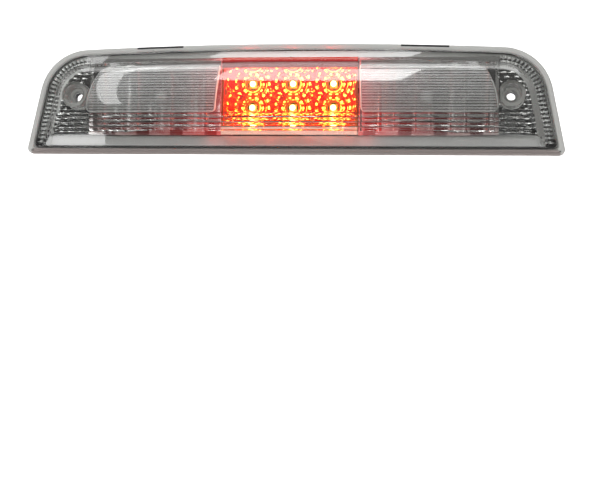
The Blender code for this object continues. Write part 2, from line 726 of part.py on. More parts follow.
def make_leds(parts, cutters):
    """Six red LEDs: a square package with a domed lens, sharing one mesh."""
    front, back = BOARD_FRONT - LED_HEIGHT, BOARD_FRONT - GAP
    package = box(bmesh.new(), (-LED_HALF, front, -LED_HALF), (LED_HALF, back, LED_HALF))
    first = object_from(package, "led_1", parts, "red_led")
    base = front + LED_DOME / 4
    profile = [(0.0, base), (LED_DOME, base)]
    for step in range(4):
        angle = math.pi / 2 * step / 4
        profile.append((LED_DOME * math.cos(angle), front - LED_DOME * math.sin(angle)))
    profile.append((0.0, front - LED_DOME))
    for number, (x, z) in enumerate(led_places(), 1):
        led = first
        if number > 1:
            led = copy_of(first, f"led_{number}", parts, (0, 0, 0))
        led.location = (x, 0.0, z)
        dome = turned(profile, f"led_dome_filler_{number}", cutters, steps=SMALL_ROUND)
        dome.location = led.location
        boolean(led, dome, "UNION")


def make_board_parts(parts):
    """What is soldered or screwed to the board's back."""
    back = BOARD_FRONT + BOARD_THICKNESS + GAP
    for side, label in ((-1, "left"), (1, "right")):
        bm = box(bmesh.new(), (-3.2 * MM, back, -1.6 * MM), (3.2 * MM, back + 1.2 * MM, 1.6 * MM))
        resistor = object_from(bm, label + "_resistor", parts, "ceramic")
        resistor.location = (side * RESISTOR_X, 0.0, RESISTOR_Z)
    bm = box(bmesh.new(), (-2.5 * MM, back, -1.8 * MM), (2.5 * MM, back + 2.2 * MM, 1.8 * MM))
    object_from(bm, "protection_diode", parts, "black_plastic").location = (0.0, 0.0, DIODE_Z)
    head, tip = BOARD_FRONT - GAP, TUB_FLOOR - 3 * MM
    dome = ((0.0, head - 1.8 * MM), (1.8 * MM, head - 1.5 * MM), (2.6 * MM, head - 0.6 * MM), (2.6 * MM, head))
    profile = dome + ((0.7 * MM, head), (0.7 * MM, tip), (0.0, tip + 0.6 * MM))
    for side, label in ((-1, "left"), (1, "right")):
        screw = turned(profile, label + "_board_screw", parts, "steel", SMALL_ROUND)
        screw.location = (side * BOARD_SCREW_X, 0.0, BOARD_SCREW_Z)


def make_connector(parts, cutters):
    """The LED board's plug header, which looks out through the housing's back."""
    front, wide, tall = BOARD_FRONT + BOARD_THICKNESS + GAP, HEADER_HALF_WIDTH, HEADER_HALF_HEIGHT
    inner_x, inner_z = wide - SHROUD_WALL, tall - SHROUD_WALL
    bm = box(bmesh.new(), (-wide, front, CONNECTOR_Z - tall), (wide, HEADER_BACK, CONNECTOR_Z + tall))
    header = object_from(bm, "led_connector_header", parts, "black_plastic")
    cavity = box(bmesh.new(), (-inner_x, HEADER_FLOOR, CONNECTOR_Z - inner_z),
                 (inner_x, HEADER_BACK + OVERCUT, CONNECTOR_Z + inner_z))
    boolean(header, object_from(cavity, "header_cutter", cutters))
    for number, x in enumerate((-PIN_X, PIN_X), 1):
        low, high = (-0.9 * MM, front - OVERCUT, -0.9 * MM), (0.9 * MM, HEADER_FLOOR + OVERCUT, 0.9 * MM)
        hole = box(bmesh.new(), low, high)
        cutter = object_from(hole, f"pin_cutter_{number}", cutters)
        cutter.location = (x, 0.0, CONNECTOR_Z)
        boolean(header, cutter)
        pin = box(bmesh.new(), (-0.5 * MM, front, -0.5 * MM), (0.5 * MM, HEADER_FLOOR + 3.0 * MM, 0.5 * MM))
        object_from(pin, f"header_pin_{number}", parts, "brass").location = (x, 0.0, CONNECTOR_Z)


def make_vent(parts):
    """A breather cap: a stem in the housing's hole and a mushroom head."""
    inside, out = TUB_FLOOR - 1.5 * MM, TUB_FLOOR + WALL
    profile = ((0.0, inside), (VENT_STEM, inside), (VENT_STEM, out + GAP), (VENT_HEAD, out + GAP),
               (VENT_HEAD, out + 2.5 * MM), (VENT_HEAD - 1 * MM, out + 3.5 * MM), (0.0, out + 3.5 * MM))
    vent = turned(profile, "breather_cap", parts, "rubber", 16)
    vent.location = (VENT_X, 0.0, VENT_Z)


def bulb_profile(base, dome_y):
    """The bulb's wedge base, its glass wall and its round end."""
    points = [(0.0, base), (BULB_RADIUS - 0.2 * MM, base), (BULB_RADIUS, base - 10.2 * MM)]
    for step in range(5):
        angle = math.pi / 2 * step / 5
        points.append((BULB_RADIUS * math.cos(angle), dome_y - BULB_RADIUS * math.sin(angle)))
    return points + [(0.0, dome_y - BULB_RADIUS)]


def make_socket(side, label, parts, cutters):
    """A twist-lock bulb socket with its seal, bulb and blades, all parented to the axis that it turns on."""
    axis = bpy.data.objects.new(label + "_socket_axis", None)
    axis.location = (side * SOCKET_X, 0.0, SOCKET_Z)
    parts.objects.link(axis)
    out = TUB_FLOOR + WALL
    disc_front = out + 2.2 * MM
    disc_back = disc_front + DISC_THICKNESS
    shroud_back = disc_back + SHROUD_DEPTH
    nose = TUB_FLOOR - NOSE_REACH
    profile = ((0.0, nose), (SOCKET_RADIUS, nose), (SOCKET_RADIUS, disc_front), (DISC_RADIUS, disc_front),
               (DISC_RADIUS, disc_back), (0.0, disc_back))
    socket = turned(profile, label + "_bulb_socket", parts, "black_plastic")
    wide, tall = SHROUD_HALF_WIDTH, SHROUD_HALF_HEIGHT
    shroud = box(bmesh.new(), (-wide, disc_back - OVERCUT, -tall), (wide, shroud_back, tall))
    fillers = [object_from(shroud, label + "_shroud_filler", cutters)]
    lug_back = TUB_FLOOR - GAP
    for number, angle in enumerate(lug_angles(), 1):
        lug_front = lug_back - LUG_THICKNESS
        lug = radial_block(SOCKET_RADIUS - 1 * MM, LUG_REACH, lug_front, lug_back, angle, LUG_WIDTH)
        fillers.append(object_from(lug, f"{label}_lug_filler_{number}", cutters))
    for filler in fillers:
        boolean(socket, filler, "UNION")
    pocket = cylinder(POCKET_RADIUS, nose - OVERCUT, nose + POCKET_DEPTH)
    inner_x, inner_z = wide - SHROUD_WALL, tall - SHROUD_WALL
    low, high = (-inner_x, disc_back + 0.5 * MM, -inner_z), (inner_x, shroud_back + OVERCUT, inner_z)
    cavity = box(bmesh.new(), low, high)
    cuts = [object_from(pocket, label + "_pocket_cutter", cutters)]
    cuts.append(object_from(cavity, label + "_shroud_cutter", cutters))
    thin, tall = BLADE_THICKNESS / 2, BLADE_WIDTH / 2
    blade_front, blade_back = nose + POCKET_DEPTH + 0.4 * MM, disc_back + NOSE_REACH
    for number, x in enumerate((-BLADE_X, BLADE_X), 1):
        slot = box(bmesh.new(), (x - thin - BLADE_GAP, nose + 6.0 * MM, -tall - BLADE_GAP),
                   (x + thin + BLADE_GAP, disc_back + OVERCUT, tall + BLADE_GAP))
        cuts.append(object_from(slot, f"{label}_blade_cutter_{number}", cutters))
        blade = box(bmesh.new(), (x - thin, blade_front, -tall), (x + thin, blade_back, tall))
        blade_obj = object_from(blade, f"{label}_socket_blade_{number}", parts, "brass")
        blade_obj.parent = axis
    for cutter in cuts:
        boolean(socket, cutter)
    section = ring_section(SEAL_INNER, SEAL_OUTER, out + GAP, disc_front - GAP)
    seal = turned(section, label + "_socket_seal", parts, "rubber")
    profile = bulb_profile(nose + POCKET_DEPTH - GAP, nose - BULB_LENGTH)
    bulb = turned(profile, label + "_bulb", parts, "glass", 16)
    for obj in [socket, seal, bulb, *fillers, *cuts]:
        obj.parent = axis


def main():
    clear_scene()
    parts = make_collection("third_brake_light")
    cutters = make_collection("cutters")
    make_lens(parts, cutters)
    make_housing(parts, cutters)
    make_gasket(parts, cutters)
    make_sleeves(parts)
    make_led_reflector(parts, cutters)
    make_led_board(parts, cutters)
    make_leds(parts, cutters)
    make_board_parts(parts)
    make_connector(parts, cutters)
    make_vent(parts)
    for side, label in ((-1, "left"), (1, "right")):
        make_cargo_optic(side, label, parts)
        make_cargo_reflector(side, label, parts, cutters)
        make_end_trim(side, label, parts, cutters)
        make_socket(side, label, parts, cutters)


main()
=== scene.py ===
"""Looks of the third brake light: clear lens, ribbed optics, chrome reflectors and lit red LEDs.

Same frame as the CAD part, in metres: X runs along the lamp, the lens faces -Y and +Z is up.
"""

import math

import bmesh
import bpy
import numpy as np
from mathutils import Matrix, Vector


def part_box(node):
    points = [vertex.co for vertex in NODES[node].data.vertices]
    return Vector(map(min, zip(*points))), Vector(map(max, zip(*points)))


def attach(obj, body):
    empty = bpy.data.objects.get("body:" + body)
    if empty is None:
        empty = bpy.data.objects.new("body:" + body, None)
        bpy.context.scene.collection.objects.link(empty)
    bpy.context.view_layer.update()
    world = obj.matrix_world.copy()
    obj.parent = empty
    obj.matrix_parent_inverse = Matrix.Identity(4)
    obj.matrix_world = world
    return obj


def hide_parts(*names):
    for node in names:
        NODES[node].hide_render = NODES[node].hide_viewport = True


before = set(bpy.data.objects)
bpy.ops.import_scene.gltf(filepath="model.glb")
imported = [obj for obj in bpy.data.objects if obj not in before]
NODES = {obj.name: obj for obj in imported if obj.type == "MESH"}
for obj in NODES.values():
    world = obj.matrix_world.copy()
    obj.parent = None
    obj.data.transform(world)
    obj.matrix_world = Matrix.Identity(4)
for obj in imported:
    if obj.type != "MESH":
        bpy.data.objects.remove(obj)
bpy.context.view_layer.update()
MM = 0.001

# Outline of the lens rim, as in the part.
HALF_WIDTH = 196.0 * MM
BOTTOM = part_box("outer_lens")[0].z
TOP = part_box("outer_lens")[1].z
SIDE_SLOPE = 0.205
CORNER_RADIUS = 37.0 * MM
FOOT_RADIUS = 3.8 * MM
FOOT_LEAST = 0.5 * MM
FOOT_GROWTH = 0.7
TOP_ARCH_RADIUS = 3430.0 * MM
ARCH_Z = TOP - TOP_ARCH_RADIUS
RIM_FRONT = -9.0 * MM

# The lens face, as in the part.
LENS_THICKNESS = 2.2 * MM
RIM_WIDTH = 4.6 * MM
BULGE = 15.0 * MM
BULGE_LOW_POWER = 0.6
BULGE_FADE = 0.25
UNDERSIDE_STEP = 0.6 * MM
SHOULDER_START = 12.0 * MM
SHOULDER_SLOPE = 0.2
SHOULDER_RISE = 14.5 * MM
SHOULDER_RUN = 9.0 * MM
BLEND = 3.0 * MM

# How finely the outline and the turned pieces are divided. The lens's ribbed lower part has finer rows.
ARC_STEPS = 14
EDGE_STEPS = 150
FINE_SHARE, FINE_STEPS, PLAIN_STEPS = 0.3, 60, 30
FINE_SHARES = np.linspace(0, FINE_SHARE, FINE_STEPS + 1)
PLAIN_SHARES = np.linspace(FINE_SHARE, 1, PLAIN_STEPS + 1)
SIDE_SHARES = np.concatenate([FINE_SHARES, PLAIN_SHARES[1:]])
SIDE_STEPS = FINE_STEPS + PLAIN_STEPS
ROUND = 48


# ---------------- outline


def lerp(first, second, share):
    return (first[0] + (second[0] - first[0]) * share, first[1] + (second[1] - first[1]) * share)


def spread(share):
    """A share of an edge that packs points closer towards both ends."""
    return 0.35 * share + 0.65 * (0.5 - 0.5 * math.cos(math.pi * share))


def arc(centre, radius, start, end, steps=ARC_STEPS):
    angles = np.linspace(start, end, steps + 1)
    return [(centre[0] + radius * math.cos(a), centre[1] + radius * math.sin(a)) for a in angles]


def mirrored(points):
    return [(-x, z) for x, z in reversed(points)]


def side_wall():
    """The right side of the rim as its outward direction and its distance from the origin."""
    lean = math.atan(SIDE_SLOPE)
    normal = (math.cos(lean), math.sin(lean))
    reach = normal[0] * HALF_WIDTH + normal[1] * (BOTTOM + FOOT_RADIUS)
    return lean, normal, reach


def corner_centre():
    """Centre of the upper right corner arc, which touches the side and the arched top."""
    _, normal, reach = side_wall()
    across = reach - CORNER_RADIUS
    base = (normal[0] * across, normal[1] * across)
    along = (-normal[1], normal[0])
    rise = (base[0], base[1] - ARCH_Z)
    half_b = rise[0] * along[0] + rise[1] * along[1]
    spare = rise[0] ** 2 + rise[1] ** 2 - (TOP_ARCH_RADIUS - CORNER_RADIUS) ** 2
    slide = -half_b + math.sqrt(half_b**2 - spare)
    return (base[0] + along[0] * slide, base[1] + along[1] * slide)


LEAN, SIDE_NORMAL, SIDE_REACH = side_wall()
CORNER = corner_centre()
CORNER_END = math.atan2(CORNER[1] - ARCH_Z, CORNER[0])


def rim_rows(inset):
    """Bottom and top edges of the rim outline, left to right, moved inwards by inset."""
    foot = max(FOOT_RADIUS - inset, FOOT_LEAST + FOOT_GROWTH * inset)
    foot_z = BOTTOM + inset + foot
    foot_x = (SIDE_REACH - inset - foot - SIDE_NORMAL[1] * foot_z) / SIDE_NORMAL[0]
    right_foot = arc((foot_x, foot_z), foot, -math.pi / 2, LEAN)
    bottom = mirrored(right_foot)
    left, right = bottom[-1], right_foot[0]
    shares = [spread(step / EDGE_STEPS) for step in range(1, EDGE_STEPS)]
    bottom += [lerp(left, right, share) for share in shares] + right_foot

    right_corner = arc(CORNER, CORNER_RADIUS - inset, LEAN, CORNER_END)
    left_corner = mirrored(right_corner)[::-1]
    radius = TOP_ARCH_RADIUS - inset
    top = list(left_corner)
    for share in shares:
        angle = math.pi - CORNER_END + (2 * CORNER_END - math.pi) * share
        top.append((radius * math.cos(angle), ARCH_Z + radius * math.sin(angle)))
    top += mirrored(left_corner)
    return bottom, top


def ring_of(rows):
    """One closed ring from a bottom and a top edge, anticlockwise seen from the front."""
    bottom, top = rows
    shares = SIDE_SHARES[1:-1]
    right = [lerp(bottom[-1], top[-1], share) for share in shares]
    left = [lerp(bottom[0], top[0], share) for share in shares[::-1]]
    return bottom + right + top[::-1] + left


def outline_distance(x, z):
    """Distance in from the sides, corners and top of the rim outline, for arrays. The bottom is left out."""
    x = np.abs(x)
    turn = np.arctan2(z - CORNER[1], x - CORNER[0])
    from_side = SIDE_REACH - SIDE_NORMAL[0] * x - SIDE_NORMAL[1] * z
    from_top = TOP_ARCH_RADIUS - np.hypot(x, z - ARCH_Z)
    from_corner = CORNER_RADIUS - np.hypot(x - CORNER[0], z - CORNER[1])
    in_corner = (LEAN < turn) & (turn < CORNER_END)
    return np.where(in_corner, from_corner, np.minimum(from_side, from_top))


def lens_height(x, z):
    """How far the lens face stands in front of the rim, for arrays."""
    distance = outline_distance(x, z)
    low, high = BOTTOM + RIM_WIDTH, TOP - RIM_WIDTH
    share = np.clip((z - low) / (high - low), 0.0, 1.0)
    peak = BULGE_LOW_POWER / (1 + BULGE_LOW_POWER)
    swell = BULGE * (share / peak) ** BULGE_LOW_POWER * (1 - share) / (1 - peak)
    swell = swell * (1 - BULGE_FADE * (x / HALF_WIDTH) ** 2)
    face = np.minimum(swell, UNDERSIDE_STEP + (z - low))
    past = np.maximum(distance - SHOULDER_START, 0.0)
    shoulder = SHOULDER_SLOPE * np.minimum(distance, SHOULDER_START)
    shoulder = shoulder + SHOULDER_RISE * (1 - np.exp(-past / SHOULDER_RUN))
    mix = np.maximum(BLEND - np.abs(face - shoulder), 0.0) / BLEND
    return np.maximum(np.minimum(face, shoulder) - mix * mix * BLEND / 4, 0.0)


def lens_points(x, z, depth):
    """Points that lie depth behind the lens face, square to it. All three may be arrays."""
    x, z = np.asarray(x, float), np.asarray(z, float)
    step = 0.3 * MM
    slope_x = (lens_height(x + step, z) - lens_height(x - step, z)) / (2 * step)
    slope_z = (lens_height(x, z + step) - lens_height(x, z - step)) / (2 * step)
    inwards = np.stack([slope_x, np.ones_like(x), slope_z], -1)
    inwards /= np.linalg.norm(inwards, axis=-1, keepdims=True)
    face = np.stack([x, RIM_FRONT - lens_height(x, z), z], -1)
    return face + inwards * np.asarray(depth, float)[..., None]


def outline_x(z, inset):
    """Half width of the rim outline at this height, moved inwards by inset."""
    low, high = 0.0, HALF_WIDTH
    for _ in range(40):
        middle = (low + high) / 2
        if outline_distance(np.array(middle), np.array(z)) > inset:
            low = middle
        else:
            high = middle
    return low


# ---------------- mesh helpers


def grid_faces(rows, columns, start=0):
    """Quads of a grid whose points are numbered row by row."""
    first = start + np.arange(rows - 1)[:, None] * columns + np.arange(columns - 1)[None, :]
    first = first.ravel()
    return np.stack([first, first + 1, first + columns + 1, first + columns], -1).tolist()


def band_faces(rings, count, closed=False):
    """Quads between neighbouring rings of count points each. closed joins the last ring to the first."""
    faces = []
    for ring in range(rings if closed else rings - 1):
        first, second = ring * count, (ring + 1) % rings * count
        for step in range(count):
            after = (step + 1) % count
            faces.append((first + step, first + after, second + after, second + step))
    return faces


def smooth(mesh, crease):
    mesh.shade_smooth()
    mesh.set_sharp_from_angle(angle=math.radians(crease))


def new_object(name, points, faces, material, crease=35.0):
    """A mesh object with outward normals, smooth apart from edges sharper than crease degrees."""
    mesh = bpy.data.meshes.new(name)
    mesh.from_pydata(np.asarray(points).tolist(), [], faces)
    bm = bmesh.new()
    bm.from_mesh(mesh)
    bmesh.ops.recalc_face_normals(bm, faces=bm.faces)
    bm.to_mesh(mesh)
    bm.free()
    smooth(mesh, crease)
    for each in material if isinstance(material, list) else [material]:
        mesh.materials.append(each)
    obj = bpy.data.objects.new(name, mesh)
    bpy.context.scene.collection.objects.link(obj)
    return obj


def sheet_solid(name, front, thickness, material, crease=35.0, back=None):
    """A closed plate from a grid of front points (rows, columns, 3), thickness deep along +Y."""
    rows, columns = front.shape[:2]
    if back is None:
        back = front + np.array([0.0, thickness, 0.0])
    points = np.concatenate([front.reshape(-1, 3), back.reshape(-1, 3)])
    count = rows * columns
    faces = grid_faces(rows, columns)
    faces += [face[::-1] for face in grid_faces(rows, columns, count)]
    edge = list(range(columns)) + [r * columns + columns - 1 for r in range(1, rows)]
    edge += [(rows - 1) * columns + c for c in range(columns - 2, -1, -1)]
    edge += [r * columns for r in range(rows - 2, 0, -1)]
    for here, after in zip(edge, edge[1:] + edge[:1]):
        faces.append([after, here, here + count, after + count])
    return new_object(name, points, faces, material, crease)


def turned(name, profile, material, place=(0.0, 0.0, 0.0), crease=35.0, steps=ROUND):
    """A solid turned about a line along Y through place, from (radius, y) points with both ends closed."""
    points, faces, rings = [], [], []
    for radius, y in profile:
        if radius < 1e-7:
            rings.append([len(points)])
            points.append((place[0], y, place[2]))
            continue
        rings.append(list(range(len(points), len(points) + steps)))
        for step in range(steps):
            angle = 2 * math.pi * step / steps
            points.append((place[0] + radius * math.cos(angle), y, place[2] + radius * math.sin(angle)))
    for first, second in zip(rings, rings[1:]):
        for step in range(steps):
            after = (step + 1) % steps
            corners = [first[step % len(first)], first[after % len(first)]]
            corners += [second[after % len(second)], second[step % len(second)]]
            faces.append(list(dict.fromkeys(corners)))
    for ring in (rings[0], rings[-1]):
        if len(ring) > 1:
            faces.append(ring)
    return new_object(name, points, faces, material, crease)


def boolean(obj, other, operation="DIFFERENCE", solver="MANIFOLD"):
    modifier = obj.modifiers.new(other.name, "BOOLEAN")
    modifier.operation = operation
    modifier.solver = solver
    modifier.object = other


def finish_booleans(obj, others, crease):
    """Applies the Booleans and removes the helpers that they used."""
    graph = bpy.context.evaluated_depsgraph_get()
    made = bpy.data.meshes.new_from_object(obj.evaluated_get(graph))
    obj.modifiers.clear()
    obj.data = made
    smooth(made, crease)
    for other in others:
        bpy.data.objects.remove(other, do_unlink=True)


def face_values(obj, kind):
    """The centre or the normal of each face, as rows."""
    values = np.zeros(len(obj.data.polygons) * 3)
    obj.data.polygons.foreach_get(kind, values)
    return values.reshape(-1, 3)


def paint_faces(obj, slots):
    """Gives each face the material in the slot of that number."""
    obj.data.polygons.foreach_set("material_index", slots.astype(np.int32))


def within(place):
    """Where each point lies within its own repeat, from -1 to 1, for an array that counts repeats."""
    return 2 * (place - np.floor(place)) - 1


def centre_of(box):
    """x and z of a box's middle."""
    low, high = box
    return (low.x + high.x) / 2, (low.z + high.z) / 2


def place_piece(obj, body, slot, *nodes):
    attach(obj, body)
    if nodes:
        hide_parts(*nodes)
    return obj


# ---------------- materials


def new_material(name):
    material = bpy.data.materials.new(name)
    material.use_nodes = True
    tree = material.node_tree
    return material, tree, tree.nodes["Principled BSDF"]


def set_inputs(node, values):
    for name, value in values.items():
        node.inputs[name].default_value = value


def add_noise(tree, scale, detail=3.0):
    """Noise in object space, one unit per metre."""
    place = tree.nodes.new("ShaderNodeTexCoord")
    noise = tree.nodes.new("ShaderNodeTexNoise")
    set_inputs(noise, {"Scale": scale, "Detail": detail})
    tree.links.new(place.outputs["Object"], noise.inputs["Vector"])
    return noise.outputs["Fac"]


def add_ramp(tree, source, stops, target):
    """Colours target by source, through stops of (position, colour)."""
    ramp = tree.nodes.new("ShaderNodeValToRGB")
    elements = ramp.color_ramp.elements
    for element, (position, colour) in zip(elements, (stops[0], stops[-1])):
        element.position = position
        element.color = (*colour, 1)
    for position, colour in stops[1:-1]:
        elements.new(position).color = (*colour, 1)
    tree.links.new(source, ramp.inputs["Fac"])
    tree.links.new(ramp.outputs["Color"], target)


def vary_gloss(tree, shader, scale, rough):
    """Lets roughness wander between the two values of rough. Returns the noise that it follows."""
    fine = add_noise(tree, scale, 2.0)
    node = tree.nodes.new("ShaderNodeMapRange")
    set_inputs(node, {"To Min": rough[0], "To Max": rough[1]})
    tree.links.new(fine, node.inputs["Value"])
    tree.links.new(node.outputs["Result"], shader.inputs["Roughness"])
    return fine


def add_bump(tree, shader, source, strength, distance):
    bump = tree.nodes.new("ShaderNodeBump")
    set_inputs(bump, {"Strength": strength, "Distance": distance})
    tree.links.new(source, bump.inputs["Height"])
    tree.links.new(bump.outputs["Normal"], shader.inputs["Normal"])


def moulded(name, dark, light, rough=(0.4, 0.55), grain=900.0, bump=0.12, metallic=0.0):
    """Moulded plastic, rubber or metal with colour, gloss and surface grain from noise."""
    material, tree, shader = new_material(name)
    shader.inputs["Metallic"].default_value = metallic
    add_ramp(tree, add_noise(tree, 35.0), ((0.3, dark), (0.7, light)), shader.inputs["Base Color"])
    add_bump(tree, shader, vary_gloss(tree, shader, grain, rough), bump, 0.1 * MM)
    return material


def clear_plastic(name, tint, rough, ior=1.49, weight=1.0):
    """Clear moulded plastic: it lets the lamps' light through, so that what is behind it is lit."""
    material, tree, shader = new_material(name)
    set_inputs(shader, {"Base Color": (*tint, 1), "Transmission Weight": weight, "IOR": ior})
    vary_gloss(tree, shader, 160.0, rough)
    path = tree.nodes.new("ShaderNodeLightPath")
    clear = tree.nodes.new("ShaderNodeBsdfTransparent")
    clear.inputs["Color"].default_value = (0.9, 0.9, 0.9, 1)
    mix = tree.nodes.new("ShaderNodeMixShader")
    tree.links.new(path.outputs["Is Shadow Ray"], mix.inputs["Fac"])
    tree.links.new(shader.outputs["BSDF"], mix.inputs[1])
    tree.links.new(clear.outputs["BSDF"], mix.inputs[2])
    tree.links.new(mix.outputs["Shader"], tree.nodes["Material Output"].inputs["Surface"])
    return material


def chrome(name, tone, rough=(0.05, 0.12)):
    """Aluminised plastic: bright, with the faint unevenness of a moulded base."""
    material, tree, shader = new_material(name)
    shader.inputs["Metallic"].default_value = 1.0
    cloud = add_noise(tree, 60.0)
    dark = tuple(0.9 * part for part in tone)
    add_ramp(tree, cloud, ((0.25, dark), (0.75, tone)), shader.inputs["Base Color"])
    vary_gloss(tree, shader, 300.0, rough)
    add_bump(tree, shader, cloud, 0.05, 0.2 * MM)
    return material


def emitter(name, colour, strength, base):
    """Glossy plastic that gives off light of its own."""
    material, tree, shader = new_material(name)
    light = {"Emission Color": (*colour, 1), "Emission Strength": strength}
    set_inputs(shader, {"Base Color": (*base, 1), **light})
    vary_gloss(tree, shader, 500.0, (0.2, 0.35))
    return material


CLEAR = clear_plastic("clear_lens", (0.96, 0.97, 0.965), (0.0, 0.02))
RIM_CLEAR = clear_plastic("lens_rim", (0.66, 0.665, 0.65), (0.25, 0.35), weight=0.45)
OPTIC_CLEAR = clear_plastic("clear_optic", (0.95, 0.955, 0.95), (0.12, 0.17), weight=0.84)
OPTIC_GROOVE_SHADE = clear_plastic("optic_groove_painted_shade", (0.42, 0.42, 0.41), (0.12, 0.16))
BOSS_CLEAR = clear_plastic("frosted_boss", (0.62, 0.625, 0.61), (0.2, 0.3), weight=0.85)
RIM_FOOT_SHADE = clear_plastic("lens_rim_foot_painted_shade", (0.36, 0.31, 0.3), (0.25, 0.35), weight=0.45)
CHROME = chrome("chrome", (0.72, 0.72, 0.715))
TRIM_CHROME = chrome("trim_chrome", (0.62, 0.62, 0.61), (0.03, 0.08))
TOOTH_CHROME = chrome("tooth_chrome", (0.95, 0.95, 0.94), (0.25, 0.32))
SHADED_CHROME = chrome("shaded_chrome", (0.1, 0.1, 0.1), (0.2, 0.3))
TOOTH_SHADE = chrome("tooth_shade", (0.2, 0.2, 0.2), (0.2, 0.3))
WALL_SHADE_CHROME = chrome("wall_chrome_painted_shade", (0.4, 0.4, 0.39), (0.55, 0.65))
HOUSING_LIT_GREY = moulded("housing_front_painted_light", (0.78, 0.78, 0.76), (0.84, 0.84, 0.82))
HOUSING_GREY = moulded("housing_plastic", (0.1, 0.1, 0.102), (0.13, 0.13, 0.132), (0.45, 0.6), 700.0, 0.2)
BLACK = moulded("black_plastic", (0.012, 0.012, 0.013), (0.02, 0.02, 0.021), (0.35, 0.5))
FOAM = moulded("gasket_foam", (0.012, 0.012, 0.012), (0.025, 0.025, 0.025), (0.9, 1.0), 1600.0, 0.6)
RUBBER = moulded("seal_rubber", (0.015, 0.015, 0.015), (0.03, 0.03, 0.03), (0.6, 0.75), 700.0)
STEEL = moulded("screw_steel", (0.5, 0.5, 0.5), (0.62, 0.62, 0.62), (0.25, 0.4), 700.0, 0.05, 1.0)
SLEEVE = moulded("sleeve_steel", (0.5, 0.5, 0.52), (0.6, 0.6, 0.62), (0.3, 0.45), 700.0, 0.05, 1.0)
BRASS = moulded("contact_brass", (0.7, 0.5, 0.2), (0.8, 0.6, 0.28), (0.25, 0.4), 700.0, 0.05, 1.0)
BOARD = moulded("circuit_board", (0.01, 0.12, 0.035), (0.02, 0.17, 0.05), (0.3, 0.45), 500.0)
CERAMIC = moulded("component_ceramic", (0.6, 0.56, 0.48), (0.72, 0.68, 0.6), (0.5, 0.65))
BULB_GLASS = clear_plastic("bulb_glass", (0.9, 0.9, 0.89), (0.2, 0.3), 1.5, 0.35)
RED_LED = emitter("red_led", (1.0, 0.3, 0.1), 60.0, (0.6, 0.02, 0.01))
PACKAGE = emitter("led_package", (1.0, 0.3, 0.02), 1.6, (0.6, 0.08, 0.06))


# ---------------- lens


RIDGE_LOW, RIDGE_HIGH = -25.4 * MM, -11.8 * MM
RIDGE_COUNT = 4
RIDGE_HEIGHT = 0.95 * MM
RIDGE_END, RIDGE_FADE = 17.0 * MM, 4.0 * MM

# The lens's section in mm: how far in from the outline each ring of the dome lies, then (inset, y) of the
# rim's inside and of its outside, which has a rounded edge, a flat and a fine groove.
DOME_INSETS = (5.0, 5.5, 6.2, 7.0, 8.0, 9.2, 10.4, 11.6, 12.8, 14.0)
RIM_INSIDE = ((4.6, -6.8), (2.2, -6.8), (2.2, -3.3))
RIM_OUTSIDE = ((0.0, -3.3), (0.0, -7.6), (0.12, -8.2), (0.45, -8.7), (1.0, -8.95), (1.8, -9.0), (3.5, -9.0),
               (3.7, -8.9), (3.85, -8.5), (4.25, -8.5), (4.4, -8.9), (4.6, -9.0))
# The dark ring of painted shade in mm: its inset along the foot, its inset elsewhere, and y.
SHADE_RING_SECTION = ((4.9, 4.8, -7.4), (6.5, 5.1, -7.2), (6.8, 5.3, -6.6), (6.8, 5.3, -5.5), (4.7, 4.7, -5.5),
                (4.7, 4.7, -7.1))
SHADE_RING_TURN, SHADE_RING_BLEND = 8.0 * MM, 4.0 * MM

# Which faces of the lens are frosted rim, painted shade along the foot, and painted shade in dark dashes.
RIM_FROSTED = 4.0 * MM
FOOT_SHADE_HEIGHT, FOOT_WEIGHT = 2.7 * MM, 1.5
SLOT_SHADE_MIDDLE, SLOT_SHADE_LENGTH = 97.0 * MM, 34.0 * MM
SLOT_SHADE_INSET, SLOT_SHADE_BACK = 1.7 * MM, -6.5 * MM


def round_back(across, half, height):
    """Height of a part-round ridge at across, from -1 to 1 over its width."""
    radius = (half**2 + height**2) / (2 * height)
    return np.sqrt(radius**2 - (across * half) ** 2) - (radius - height)


def outline_ring(inset):
    """x and z round the rim outline, moved inwards by inset in mm."""
    return np.array(ring_of(rim_rows(inset * MM))).T


def level_ring(x, z, y):
    return np.stack([x, np.full_like(x, y * MM), z], -1)


def lens_outside(x, z):
    return lens_points(x, z, np.zeros_like(x))


def lens_inside(x, z):
    """Points of the lens's inner face, with round-backed level ridges across its lower part."""
    pitch = (RIDGE_HIGH - RIDGE_LOW) / RIDGE_COUNT
    place = (z - RIDGE_LOW) / pitch
    ribbed = (place > 0) & (place < RIDGE_COUNT)
    bump = round_back(within(place), pitch / 2, RIDGE_HEIGHT)
    fade = np.clip((outline_distance(x, z) - RIDGE_END) / RIDGE_FADE, 0, 1)
    return lens_points(x, z, LENS_THICKNESS + np.where(ribbed, bump * fade, 0.0))


def fill_grid(points, faces, ring, rows, surface, forwards):
    """Fills a ring with a grid of points on surface, with faces that look forwards or back."""
    bottom, top = (np.array(row) for row in rows)
    columns = len(bottom)
    right = ring[columns : columns + SIDE_STEPS - 1]
    upper = ring[columns + SIDE_STEPS - 1 : 2 * columns + SIDE_STEPS - 1][::-1]
    left = ring[2 * columns + SIDE_STEPS - 1 :][::-1]
    grid = [ring[:columns]]
    for step in range(1, SIDE_STEPS):
        row = bottom[1:-1] + (top[1:-1] - bottom[1:-1]) * SIDE_SHARES[step]
        start = len(points)
        points.extend(surface(row[:, 0], row[:, 1]).tolist())
        grid.append([left[step - 1], *range(start, start + columns - 2), right[step - 1]])
    grid.append(upper)
    for lower, higher in zip(grid, grid[1:]):
        for column in range(columns - 1):
            face = (lower[column], lower[column + 1], higher[column + 1], higher[column])
            faces.append(face if forwards else face[::-1])


